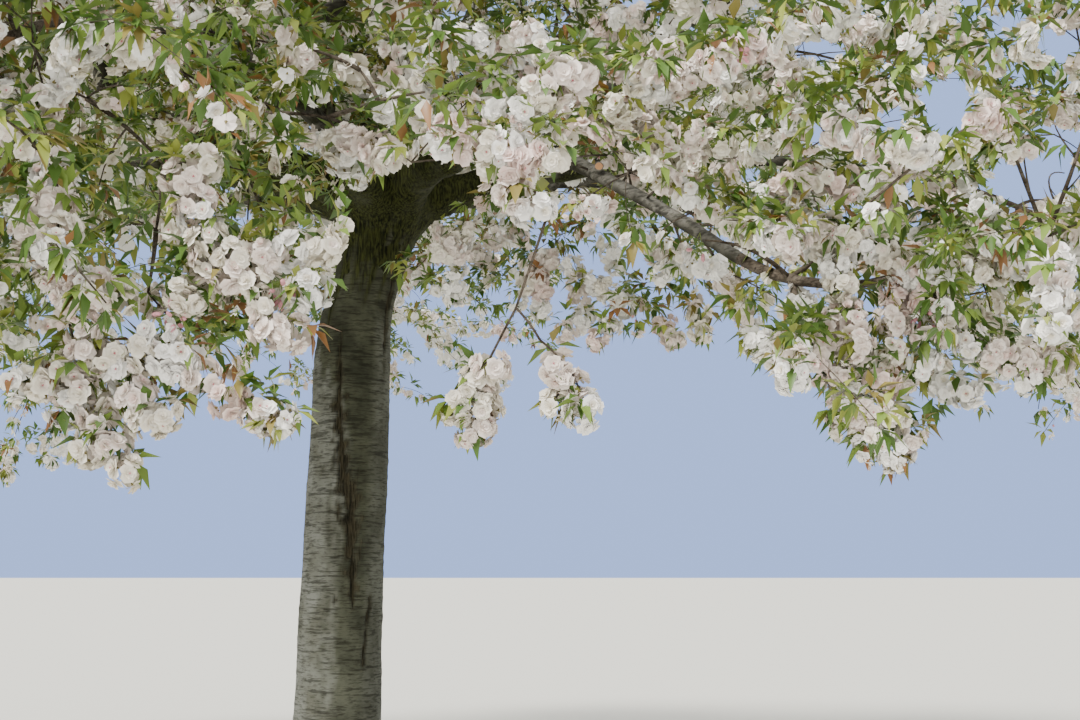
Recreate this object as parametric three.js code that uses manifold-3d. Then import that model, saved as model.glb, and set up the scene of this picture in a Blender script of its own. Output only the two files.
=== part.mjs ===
// A white double-flowered cherry grown as a standard: a clear, slightly leaning trunk with a flared foot and a
// swollen head, low boughs that spread almost level, side boughs and rising boughs above them, and masses of
// blossom and young leaf that make a wide, flat-topped crown with a drooping rim.
// Millimetres, +Z up. The origin is the middle of the flat cut at ground level. -Y faces the viewer.
import * as THREE from "three";
import { mergeVertices } from "three/addons/utils/BufferGeometryUtils.js";
import Module from "manifold-3d";

const wasm = await Module();
wasm.setup();

// Pieces that meet face to face keep this gap, and a piece keeps at least CLEAR from one that it only passes.
const GAP = 0.3;
const CLEAR = 6;

// The trunk, ring by ring: height, radius, and how far the ring's centre leans to the right.
const TRUNK_RINGS = [
  [0, 236, 0],
  [50, 212, 1],
  [130, 184, 3],
  [270, 166, 6],
  [640, 156, 12],
  [1200, 151, 28],
  [1730, 147, 44],
  [1920, 136, 56],
  [2060, 128, 98],
  [2200, 140, 132],
  [2310, 163, 158],
  [2400, 156, 172],
  [2455, 104, 180],
];
const TRUNK_SIDES = 16;
const ROOT_LOBES = 5;
const ROOT_LOBE_DEPTH = 0.13;
const ROOT_LOBE_HEIGHT = 300;

// Where the boughs leave the trunk's head.
const HEAD = new THREE.Vector3(165, 0, 2330);

// The low boughs, by the angle seen from above: 0 is to the right and -90 towards the viewer.
// tip is the height of the bough's end, and slopes are those it leaves the trunk and arrives at its tip with.
// heart and half are the height and half height of the mass that hangs from it.
const LOW_BOUGHS = [
  { name: "right", angle: 2, tip: 2500, slopes: [0.3, -0.12], heart: 2180, half: 800 },
  { name: "back_right", angle: 47, tip: 2700, slopes: [0.3, -0.12], heart: 3000, half: 560 },
  { name: "back", angle: 93, tip: 2620, slopes: [0.3, -0.12], heart: 2450, half: 680 },
  { name: "back_left", angle: 136, tip: 2520, slopes: [0.3, -0.12], heart: 2140, half: 820 },
  { name: "left", angle: 179, tip: 2500, slopes: [0.3, -0.12], heart: 2080, half: 840 },
  { name: "front_left", angle: -139, tip: 2400, slopes: [0.3, -0.32], heart: 1980, half: 820 },
  { name: "front", angle: -98, tip: 2330, slopes: [0.3, -0.32], heart: 1930, half: 780 },
  { name: "front_right", angle: -53, tip: 1800, slopes: [0.45, -0.6], heart: 1720, half: 640 },
];
const LOW_REACH = 2180;
const RIM_RADIUS = 2930;

// Rings of limbs that carry the rest of the crown. Each entry gives how many there are, the first one's angle,
// the radius and height of the limbs' tips, and the radius, height and half sizes of the masses on them
// (across, outwards and up).
const RINGS = {
  side: { count: 8, first: 24, tip: [1700, 3020], heart: [2080, 3330], half: [980, 860, 700] },
  rising: { count: 4, first: 22, tip: [700, 3600], heart: [1080, 4060], half: [1000, 960, 760] },
  inner: { count: 4, first: -23, tip: [800, 2860], heart: [1060, 3080], half: [760, 700, 480] },
};
const LEADER_TIP = new THREE.Vector3(190, 60, 3930);
const TOP_HEART = new THREE.Vector3(150, 40, 4540);
const TOP_HALF = [840, 840, 500];
const RIM_HALF = [1180, 790];

// Limb thickness at root and tip, and how far a limb wanders off its curve.
const RADII = { low: [72, 17], side: [34, 13], rising: [56, 15], inner: [24, 11], leader: [50, 15] };
const LIMB_RINGS = 6;
const LIMB_SIDES = { low: 7, side: 5, rising: 6, inner: 5, leader: 6 };
const WANDER = 34;

// Twigs: the number on each mass, how near the mass's bounds their ends come, how far the ends keep apart, and the
// shortest and longest run from where they branch.
const TWIG_COUNTS = { rim: 10, side: 7, rising: 8, inner: 4, top: 8 };
const TARGET_REACH = 0.88;
const TARGET_APART = 400;
const TWIG_RUN = [170, 1150];
const TWIG_TIP_RADIUS = 6;
const TWIG_LIFT = 0.16;

// A garland is the blossom round a twig's end, and a leaf stands for a spray of young leaves.
const GARLAND_RADIUS = [150, 215];
const GARLAND_LENGTH = [270, 430];
const GARLAND_RUN_SHARE = 0.7;
const GARLAND_SAG = 0.3;
const GARLAND_LUMP = 0.12;
const LEAF_SIZE = { length: 250, width: 96, thick: 8 };
const LEAF_SHARE = 0.45;

// Small edges go where a mass's surface moves by less than this.
const SMOOTHING = 1;

// A repeatable source of numbers from 0 to 1.
function seeded(seed) {
  let state = seed >>> 0;
  return () => {
    state = (state + 0x6d2b79f5) >>> 0;
    let t = state;
    t = Math.imul(t ^ (t >>> 15), t | 1);
    t ^= t + Math.imul(t ^ (t >>> 7), t | 61);
    return ((t ^ (t >>> 14)) >>> 0) / 4294967296;
  };
}

const between = (range, share) => range[0] + (range[1] - range[0]) * share;

// The horizontal direction at an angle seen from above, in degrees.
function outwards(angle) {
  const a = THREE.MathUtils.degToRad(angle);
  return new THREE.Vector3(Math.cos(a), Math.sin(a), 0);
}

// The point at a radius, angle and height from the origin.
const polar = (radius, angle, height) => outwards(angle).multiplyScalar(radius).setZ(height);

// A geometry with one corner wherever several meet.
function welded(geometry) {
  const bare = geometry.clone();
  bare.deleteAttribute("normal");
  bare.deleteAttribute("uv");
  return mergeVertices(bare, 1e-3);
}

// A geometry's closed mesh as a solid.
function solid(geometry) {
  const merged = welded(geometry);
  return new wasm.Manifold(
    new wasm.Mesh({
      numProp: 3,
      vertProperties: merged.attributes.position.array,
      triVerts: new Uint32Array(merged.index.array),
    }),
  );
}

// A solid's faces as a geometry, with the loose scraps that cutting leaves dropped.
function geometryOf(made) {
  const pieces = made.decompose();
  const largest = pieces.reduce((a, b) => (b.volume() > a.volume() ? b : a));
  const mesh = largest.getMesh();
  const geometry = new THREE.BufferGeometry();
  geometry.setAttribute("position", new THREE.BufferAttribute(mesh.vertProperties, 3));
  geometry.setIndex(new THREE.BufferAttribute(mesh.triVerts, 1));
  geometry.computeVertexNormals();
  return geometry;
}

// A closed tube with one ring for each centre point. ringAt gives a ring's radius at a step and an angle.
function tube(centres, sides, ringAt, level = false) {
  const rings = centres.length - 1;
  const geometry = new THREE.CylinderGeometry(1, 1, 1, sides, rings);
  const position = geometry.attributes.position;
  const frames = level ? null : new THREE.CatmullRomCurve3(centres).computeFrenetFrames(rings, false);
  for (let i = 0; i < position.count; i++) {
    const step = Math.round((position.getY(i) + 0.5) * rings);
    const x = position.getX(i);
    const y = position.getZ(i);
    const distance = Math.hypot(x, y);
    const radius = distance < 0.5 ? 0 : ringAt(step, Math.atan2(y, x));
    const across = level ? new THREE.Vector3(1, 0, 0) : frames.normals[step];
    const over = level ? new THREE.Vector3(0, -1, 0) : frames.binormals[step];
    const share = distance < 0.5 ? 0 : radius / distance;
    const point = centres[step].clone();
    point.addScaledVector(across, x * share).addScaledVector(over, y * share);
    position.setXYZ(i, point.x, point.y, point.z);
  }
  const made = solid(geometry);
  return made.volume() < 0 ? solid(flipped(geometry)) : made;
}

// The same geometry with its faces turned round.
function flipped(geometry) {
  const index = geometry.index.array;
  for (let i = 0; i < index.length; i += 3) [index[i + 1], index[i + 2]] = [index[i + 2], index[i + 1]];
  return geometry;
}

// The trunk, from its flat cut to the head, with root lobes that fade out above the foot.
function trunkSolid(grow = 0) {
  const centres = TRUNK_RINGS.map(([height, , lean], i) => {
    const top = i === TRUNK_RINGS.length - 1;
    return new THREE.Vector3(lean, 0, height + (top ? grow : 0));
  });
  const ringAt = (step, angle) => {
    const [height, radius] = TRUNK_RINGS[step];
    const fade = Math.max(0, 1 - height / ROOT_LOBE_HEIGHT) ** 2;
    return radius * (1 + ROOT_LOBE_DEPTH * fade * Math.cos(ROOT_LOBES * angle + 0.6)) + grow;
  };
  return tube(centres, TRUNK_SIDES, ringAt, true);
}

// A limb's centre points, from a start to a tip. It leaves at one slope and arrives at another, and wanders a little.
function limbPath(start, tip, leaveSlope, arriveSlope, seed) {
  const draw = seeded(seed);
  const flat = new THREE.Vector3(tip.x - start.x, tip.y - start.y, 0);
  const run = flat.length();
  const way = flat.normalize();
  const handle = Math.max(run, 0.6 * (tip.z - start.z)) * 0.38;
  const leaves = way.clone().setZ(leaveSlope).normalize().multiplyScalar(handle);
  const arrives = way.clone().setZ(arriveSlope).normalize().multiplyScalar(handle);
  const curve = new THREE.CubicBezierCurve3(start, start.clone().add(leaves), tip.clone().sub(arrives), tip);
  const side = new THREE.Vector3(-way.y, way.x, 0);
  return Array.from({ length: LIMB_RINGS + 1 }, (_, i) => {
    const share = i / LIMB_RINGS;
    const point = curve.getPoint(share);
    const swing = WANDER * Math.sin(Math.PI * share);
    const aside = (draw() - 0.5) * 2 * swing;
    const up = (draw() - 0.5) * swing;
    return point.addScaledVector(side, aside).setZ(point.z + up);
  });
}

// A limb: its name, kind, path and radius at each step.
function limb(name, kind, start, tip, slopes, seed) {
  const path = limbPath(start, tip, slopes[0], slopes[1], seed);
  const [root, end] = RADII[kind];
  const radii = path.map((_, i) => root + (end - root) * (i / LIMB_RINGS) ** 0.75);
  return { name, kind, path, radii };
}

// A limb as a closed tube. grow makes it that much thicker and longer, to cut its neighbours with.
function limbTube({ kind, path, radii }, grow = 0) {
  const last = path.length - 1;
  const heading = path[last].clone().sub(path[last - 1]).normalize();
  const centres = path.map((point, i) => point.clone().addScaledVector(heading, i === last ? grow : 0));
  return tube(centres, LIMB_SIDES[kind], (step) => radii[step] + grow);
}

// The point on a limb a share of the way along it.
const along = (limbMade, share) => limbMade.path[Math.round(share * LIMB_RINGS)].clone();

// All limbs, with the masses that they carry.
function planTree() {
  const limbs = [];
  const masses = [];
  const add = (limbMade, ring, heart, half) => {
    limbs.push(limbMade);
    const name = limbMade.name.replace("bough_", "blossom_");
    masses.push({ name, ring, limb: limbMade, heart, half, seed: 500 + 37 * masses.length });
  };
  LOW_BOUGHS.forEach(({ name, angle, tip, slopes, heart, half }, i) => {
    const made = limb("bough_" + name, "low", HEAD.clone(), polar(LOW_REACH, angle, tip), slopes, 11 + i);
    add(made, "rim", polar(RIM_RADIUS, angle, heart), [...RIM_HALF, half]);
  });
  const lows = limbs.slice();
  const ringOf = (kind, startOf, slopes, seed) => {
    const { count, first, tip, heart, half } = RINGS[kind];
    for (let i = 0; i < count; i++) {
      const angle = first + (360 / count) * i;
      const end = polar(tip[0], angle, tip[1]);
      const made = limb(`bough_${kind}_${i + 1}`, kind, startOf(i), end, slopes, seed + i);
      add(made, kind, polar(heart[0], angle, heart[1]), half);
    }
  };
  ringOf("rising", () => HEAD.clone().setZ(HEAD.z + 40), [1.5, 1.6], 61);
  const risings = limbs.slice(lows.length);
  ringOf("side", (i) => along(lows[i], 1 / 2), [0.9, 0.25], 31);
  ringOf("inner", (i) => along(risings[i], 1 / 3), [0.35, 0.2], 81);
  const leader = limb("bough_leader", "leader", HEAD.clone().setZ(HEAD.z + 40), LEADER_TIP, [6, 5], 91);
  add(leader, "top", TOP_HEART, TOP_HALF);
  return { limbs, masses };
}

// The distance from a point to the nearest limb's bark, less than zero inside it.
function limbDistance(limbs, point) {
  const line = new THREE.Line3();
  const near = new THREE.Vector3();
  let least = Infinity;
  for (const { path, radii } of limbs)
    for (let i = 0; i < path.length - 1; i++) {
      line.set(path[i], path[i + 1]).closestPointToPoint(point, true, near);
      least = Math.min(least, near.distanceTo(point) - Math.max(radii[i], radii[i + 1]));
    }
  return least;
}

// True where a ball lies in a mass's own space: inside its rounded bounds, on its side of the planes halfway
// to the other masses, and clear of every limb.
function fits(mass, tree, point, radius) {
  const away = point.clone().sub(mass.heart);
  const out = new THREE.Vector3(mass.heart.x, mass.heart.y, 0).normalize();
  const across = new THREE.Vector3(-out.y, out.x, 0);
  const shares = [away.dot(across) / mass.half[0], away.dot(out) / mass.half[1], away.z / mass.half[2]];
  if (Math.hypot(...shares) > 1.04) return false;
  for (const other of tree.masses) {
    if (other === mass) continue;
    const to = other.heart.clone().sub(mass.heart);
    const plane = to.length() / 2;
    if (away.dot(to.normalize()) > plane - radius - CLEAR) return false;
  }
  return limbDistance(tree.limbs, point) > radius + CLEAR;
}

// A point drawn in a mass's rounded bounds, more often towards their outside.
function drawTarget(mass, draw) {
  const turn = 2 * Math.PI * draw();
  const up = 2 * draw() - 1;
  const level = Math.sqrt(1 - up * up);
  const share = TARGET_REACH * draw() ** 0.4;
  const out = new THREE.Vector3(mass.heart.x, mass.heart.y, 0).normalize();
  const across = new THREE.Vector3(-out.y, out.x, 0);
  return mass.heart
    .clone()
    .addScaledVector(across, Math.cos(turn) * level * share * mass.half[0])
    .addScaledVector(out, Math.sin(turn) * level * share * mass.half[1])
    .setZ(mass.heart.z + up * share * mass.half[2]);
}

// A mass's stem: it goes on from inside its bough's tip, which cuts it later, passes the mass's heart and ends
// beyond it.
function stemOf(mass) {
  const { path, radii } = mass.limb;
  const tip = path[path.length - 1];
  const heading = tip.clone().sub(path[path.length - 2]).normalize();
  const reach = mass.heart.distanceTo(tip);
  const start = tip.clone().addScaledVector(heading, -CLEAR);
  const bend = tip.clone().addScaledVector(heading, 0.55 * reach);
  const end = mass.heart.clone().addScaledVector(mass.heart.clone().sub(tip).normalize(), 0.3 * reach);
  const curve = new THREE.QuadraticBezierCurve3(start, bend, end);
  const centres = [0, 1, 2, 3, 4].map((i) => curve.getPoint(i / 4));
  const root = radii[radii.length - 1];
  return { centres, radii: centres.map((_, i) => root + (8 - root) * (i / 4)) };
}

// Twigs branch from the stem by this rule. Targets are drawn in the mass's space and taken from the nearest to
// the furthest. Each is reached from the nearest point of what has grown, counting a turn back as further.
function growTwigs(mass, tree) {
  const draw = seeded(mass.seed);
  const stem = stemOf(mass);
  const nodes = [];
  for (let i = 1; i < stem.centres.length; i++) {
    const heading = stem.centres[i].clone().sub(stem.centres[i - 1]).normalize();
    nodes.push({ point: stem.centres[i], heading, radius: stem.radii[i] });
  }
  const wanted = TWIG_COUNTS[mass.ring];
  const targets = [];
  for (let tries = 0; tries < 60 * wanted && targets.length < wanted; tries++) {
    const target = drawTarget(mass, draw);
    const apart = targets.every((t) => t.distanceTo(target) > TARGET_APART);
    if (apart && fits(mass, tree, target, GARLAND_RADIUS[0])) targets.push(target);
  }
  const root = stem.centres[0];
  targets.sort((a, b) => a.distanceTo(root) - b.distanceTo(root));
  const twigs = [];
  for (const target of targets) {
    const jitter = [draw() - 0.5, draw() - 0.5, draw()];
    let best = null;
    for (const node of nodes) {
      const way = target.clone().sub(node.point);
      const run = way.length();
      if (run < TWIG_RUN[0] || run > TWIG_RUN[1]) continue;
      const cost = run * (1.7 - (0.7 * way.dot(node.heading)) / run);
      if (!best || cost < best.cost) best = { node, run, cost };
    }
    if (!best) continue;
    const { node, run } = best;
    const bend = node.point.clone().lerp(target, 0.5);
    bend.x += 0.3 * run * jitter[0];
    bend.y += 0.3 * run * jitter[1];
    bend.z += TWIG_LIFT * run;
    const curve = new THREE.QuadraticBezierCurve3(node.point, bend, target);
    const centres = [0, 0.5, 1].map((share) => curve.getPoint(share));
    const radius = Math.min(0.75 * node.radius, 5 + 0.012 * run);
    const radii = centres.map((_, i) => radius + (TWIG_TIP_RADIUS - radius) * (i / 2));
    const clear = [0.3, 0.5, 0.75, 1].every((share) => fits(mass, tree, curve.getPoint(share), radius));
    if (!clear) continue;
    const heading = curve.getTangent(1);
    nodes.push({ point: centres[1], heading: curve.getTangent(0.5), radius: radii[1] });
    nodes.push({ point: centres[2], heading, radius: radii[2] });
    twigs.push({ curve, centres, radii, run, heading, size: jitter[2] });
  }
  return { stem, twigs };
}

// A garland of blossom round a twig's end, a lumpy solid of 8 faces. It follows the twig or hangs straight down,
// and is made smaller until it keeps to its mass's space.
function garland(mass, tree, twig, draw) {
  const radius = between(GARLAND_RADIUS, twig.size);
  const length = Math.min(between(GARLAND_LENGTH, twig.size), GARLAND_RUN_SHARE * twig.run);
  const middle = twig.centres[2].clone();
  middle.z -= GARLAND_SAG * radius;
  const lumps = Array.from({ length: 6 }, () => 1 - GARLAND_LUMP + 2 * GARLAND_LUMP * draw());
  const down = new THREE.Vector3(0, 0, -1);
  const sizes = [1, 0.8, 0.62, 0.48].flatMap((shrink) => [[shrink, twig.heading], [shrink, down]]);
  for (const [shrink, way] of sizes) {
    const turn = new THREE.Quaternion().setFromUnitVectors(new THREE.Vector3(1, 0, 0), way);
    const size = new THREE.Vector3(length, radius, radius).multiplyScalar(shrink);
    const place = new THREE.Matrix4().compose(middle, turn, size);
    const lumpy = welded(new THREE.OctahedronGeometry(1, 0));
    const position = lumpy.attributes.position;
    const corners = lumps.map((lump, i) => {
      const corner = new THREE.Vector3().fromBufferAttribute(position, i).multiplyScalar(lump).applyMatrix4(place);
      position.setXYZ(i, ...corner);
      return corner;
    });
    const inSpace = corners.every((corner) => fits(mass, tree, corner, 0));
    const clearOfLimbs = [-0.5, 0, 0.5].every((share) => {
      const point = middle.clone().addScaledVector(way, share * size.x);
      return limbDistance(tree.limbs, point) > (1 + GARLAND_LUMP) * (1 - Math.abs(share)) * size.y + CLEAR;
    });
    if (inSpace && clearOfLimbs) return { made: solid(lumpy), middle, radius: size.y };
  }
  return null;
}

// A leaf blade of 8 faces whose foot is sunk in its garland.
function leaf(mass, tree, from, radius, draw) {
  const turn = 2 * Math.PI * draw();
  const up = 0.1 + 0.7 * draw();
  const size = 0.8 + 0.4 * draw();
  const way = new THREE.Vector3(Math.cos(turn), Math.sin(turn), up).normalize();
  const across = new THREE.Vector3(-way.y, way.x, 0).normalize();
  const over = way.clone().cross(across);
  const { length, width, thick } = LEAF_SIZE;
  const foot = from.clone().addScaledVector(way, 0.45 * radius);
  const tip = foot.clone().addScaledVector(way, length * size);
  const middle = foot.clone().addScaledVector(way, 0.5 * length * size);
  if (![middle, tip].every((point) => fits(mass, tree, point, 0.5 * width))) return null;
  const blade = new THREE.OctahedronGeometry(1, 0);
  const place = new THREE.Matrix4().makeBasis(
    way.multiplyScalar((length * size) / 2),
    across.multiplyScalar((width * size) / 2),
    over.multiplyScalar(thick / 2),
  );
  place.setPosition(middle);
  return solid(blade.applyMatrix4(place));
}

// One mass: stem, twigs, garlands and leaves, fused, and cut back from the bough that carries it.
function massSolid(mass, tree) {
  const draw = seeded(mass.seed + 7);
  const { stem, twigs } = growTwigs(mass, tree);
  let made = tube(stem.centres, 5, (step) => stem.radii[step]);
  for (const twig of twigs) {
    made = made.add(tube(twig.centres, 3, (step) => twig.radii[step]));
    const sleeve = garland(mass, tree, twig, draw);
    if (!sleeve) continue;
    made = made.add(sleeve.made);
    const blade = draw() < LEAF_SHARE && leaf(mass, tree, sleeve.middle, sleeve.radius, draw);
    if (blade) made = made.add(blade);
  }
  return made.simplify(SMOOTHING).subtract(limbTube(mass.limb, GAP));
}

const MATERIALS = {
  trunk: new THREE.MeshStandardMaterial({ color: "#8f867b", roughness: 0.85, metalness: 0 }),
  bough: new THREE.MeshStandardMaterial({ color: "#5a5146", roughness: 0.9, metalness: 0 }),
  blossom: new THREE.MeshStandardMaterial({ color: "#f3ece8", roughness: 0.75, metalness: 0 }),
};

const cherry = new THREE.Group();

function addNode(name, made, material) {
  const mesh = new THREE.Mesh(geometryOf(made), material);
  mesh.name = name;
  cherry.add(mesh);
}

const tree = planTree();
addNode("trunk", trunkSolid(), MATERIALS.trunk);

// Each limb is cut back from the trunk and from the limbs made before it.
const cutters = [trunkSolid(GAP)];
for (const limbMade of tree.limbs) {
  let made = limbTube(limbMade);
  for (const cutter of cutters) made = made.subtract(cutter);
  cutters.push(limbTube(limbMade, GAP));
  addNode(limbMade.name, made, MATERIALS.bough);
}
for (const mass of tree.masses) addNode(mass.name, massSolid(mass, tree), MATERIALS.blossom);

export default cherry;
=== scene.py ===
"""A white double-flowered cherry: its bark, twigs, blossom and young leaves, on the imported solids.

Metres, +Z up. The origin is the middle of the flat cut under the trunk, and -Y faces the viewer. The limbs
and the first twigs are grown again here by the rule that shaped the solids, and carried on to the finer twigs
that hold the blossom and the leaves.
"""

import logging
from dataclasses import dataclass, field, replace
from enum import Enum
from math import cos, pi, radians, sin, sqrt

import bmesh
import bpy
import numpy as np
from mathutils import Matrix, Vector, noise


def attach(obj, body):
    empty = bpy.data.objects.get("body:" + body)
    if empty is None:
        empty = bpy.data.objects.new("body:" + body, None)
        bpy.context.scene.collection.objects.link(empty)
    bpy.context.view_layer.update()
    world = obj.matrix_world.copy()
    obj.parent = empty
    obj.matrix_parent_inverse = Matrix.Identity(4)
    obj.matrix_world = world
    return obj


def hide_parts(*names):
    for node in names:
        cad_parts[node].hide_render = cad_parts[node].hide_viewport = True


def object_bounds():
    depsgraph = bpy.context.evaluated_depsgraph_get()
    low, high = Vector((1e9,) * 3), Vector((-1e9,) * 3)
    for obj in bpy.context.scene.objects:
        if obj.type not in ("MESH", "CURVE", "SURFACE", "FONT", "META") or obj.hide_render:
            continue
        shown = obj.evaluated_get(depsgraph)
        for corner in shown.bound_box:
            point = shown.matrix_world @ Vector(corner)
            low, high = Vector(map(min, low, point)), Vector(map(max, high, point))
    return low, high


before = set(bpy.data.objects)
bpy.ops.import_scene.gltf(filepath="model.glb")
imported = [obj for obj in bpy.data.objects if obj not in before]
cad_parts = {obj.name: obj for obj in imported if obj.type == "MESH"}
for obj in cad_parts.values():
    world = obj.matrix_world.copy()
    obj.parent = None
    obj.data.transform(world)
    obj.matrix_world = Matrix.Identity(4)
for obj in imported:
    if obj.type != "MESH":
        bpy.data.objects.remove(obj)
CAD_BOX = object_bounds()
BODY = "root"
PAST_BOX = 0.03
HEAD = (0.165, 0.0, 2.33)

log = logging.getLogger("cherry")

Array, BMesh, Material, Object = np.ndarray, bmesh.types.BMesh, bpy.types.Material, bpy.types.Object
Pair, Triple, Row = tuple[float, float], tuple[float, float, float], tuple[float, ...]
norm = np.linalg.norm


class Dice:
    """A repeatable source of numbers from 0 to 1, the same one that the solids' rule draws from."""

    MASK = 0xFFFFFFFF

    def __init__(self, seed: int) -> None:
        """Starts the sequence from a seed."""
        self.state = seed & self.MASK

    def draw(self) -> float:
        """Returns: the next number."""
        self.state = (self.state + 0x6D2B79F5) & self.MASK
        t = self.state
        t = ((t ^ (t >> 15)) * (t | 1)) & self.MASK
        t ^= (t + (((t ^ (t >> 7)) * (t | 61)) & self.MASK)) & self.MASK
        return ((t ^ (t >> 14)) & self.MASK) / 2**32


def unit(vectors: Array) -> Array:
    """Returns: one vector, or rows of them, at length 1."""
    return vectors / np.maximum(norm(vectors, axis=-1, keepdims=True), 1e-12)


def outwards(angle: float) -> Array:
    """Returns: the level direction at an angle in degrees, seen from above, 0 to the right."""
    a = radians(angle)
    return np.array([cos(a), sin(a), 0.0])


def polar(radius: float, angle: float, height: float) -> Array:
    """Returns: the point at a radius, an angle in degrees and a height."""
    return outwards(angle) * radius + np.array([0.0, 0.0, height])


def in_reach(points: Array, spare: float) -> Array:
    """Returns: True for each point in the solids' box, or past it by 3% of a side less what is spared."""
    low, high = np.array(CAD_BOX)
    room = PAST_BOX * (high - low) - spare
    return ((points > low - room) & (points < high + room)).all(axis=1)


def quadratic(control: Array, share: Array | float) -> Array:
    """Returns: the points at shares of the way along a curve of three control points."""
    t = np.asarray(share, float)[..., None]
    return (1 - t) ** 2 * control[0] + 2 * t * (1 - t) * control[1] + t**2 * control[2]


def quadratic_heading(control: Array, share: Array | float) -> Array:
    """Returns: the directions at shares of the way along a curve of three control points."""
    t = np.asarray(share, float)[..., None]
    return unit(2 * (1 - t) * (control[1] - control[0]) + 2 * t * (control[2] - control[1]))


def bases(axes: Array, spins: Array) -> Array:
    """Args:
        axes: directions, one a row.
        spins: turns about them, in radians.

    Returns: rotations, one for each axis, that take +Z to it.
    """
    z = unit(axes)
    helper = np.where(np.abs(z[:, 2:]) < 0.9, [[0.0, 0.0, 1.0]], [[1.0, 0.0, 0.0]])
    side = unit(np.cross(helper, z))
    over = np.cross(z, side)
    c, s = np.cos(spins)[:, None], np.sin(spins)[:, None]
    return np.stack([c * side + s * over, c * over - s * side, z], axis=2)


@dataclass(frozen=True)
class Viewpoint:
    """Where the photograph was taken from. Its focal length and its middle are in the photograph's pixels."""

    place: Triple = (0.7625, -6.0, 0.96)
    tilt: float = 7.5
    focal: float = 1580.0
    middle: Pair = (540.0, 360.0)

    def see(self, points: Array) -> tuple[Array, Array, Array]:
        """Args:
            points: points, one a row.

        Returns: how far across and down the photograph each one shows, in pixels, and its depth.
        """
        away = points - self.place
        c, s = cos(radians(self.tilt)), sin(radians(self.tilt))
        depth = c * away[:, 1] + s * away[:, 2]
        across = self.middle[0] + self.focal * away[:, 0] / depth
        down = self.middle[1] - self.focal * (c * away[:, 2] - s * away[:, 1]) / depth
        return across, down, depth

    def point(self, across: float, down: float, depth: float) -> Array:
        """Args:
            across: how far across the photograph the point shows, in pixels.
            down: how far down it shows.
            depth: its depth in metres.

        Returns: the point.
        """
        c, s = cos(radians(self.tilt)), sin(radians(self.tilt))
        right = (across - self.middle[0]) / self.focal * depth
        up = (self.middle[1] - down) / self.focal * depth
        return np.array(self.place) + [right, c * depth - s * up, s * depth + c * up]


VIEW = Viewpoint()


# The tree's plan, by the solids' own rule.


class Kind(Enum):
    """What a limb does in the crown."""

    LOW = "low"
    RISING = "rising"
    SIDE = "side"
    INNER = "inner"
    LEADER = "leader"


LIMB_RADII = {
    Kind.LOW: (0.072, 0.017),
    Kind.SIDE: (0.034, 0.013),
    Kind.RISING: (0.056, 0.015),
    Kind.INNER: (0.024, 0.011),
    Kind.LEADER: (0.05, 0.015),
}


@dataclass(frozen=True)
class LowBough:
    """One low bough: its direction, its tip, its slopes at both ends, and the mass that hangs from it."""

    name: str
    angle: float
    tip: float
    slopes: Pair
    heart: float
    half: float


@dataclass(frozen=True)
class LimbRing:
    """A ring of like limbs: how many, the first one's angle, their tips and masses, their slopes at both
    ends, and the first one's seed."""

    count: int
    first: float
    tip: Pair
    heart: Pair
    half: Triple
    slopes: Pair
    seed: int


@dataclass(frozen=True)
class Limb:
    """A limb's name, kind, centre points and radii."""

    name: str
    kind: Kind
    path: Array
    radii: Array


@dataclass(frozen=True)
class Mass:
    """A mass of blossom: the limb that carries it and the rounded space that it keeps to."""

    name: str
    kind: Kind
    limb: Limb
    heart: Array
    half: Array
    seed: int

    def axes(self) -> Array:
        """Returns: the directions across, outwards and up of the mass's space."""
        out = unit(np.array([self.heart[0], self.heart[1], 0.0]))
        return np.array([[-out[1], out[0], 0.0], out, [0.0, 0.0, 1.0]])


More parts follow.
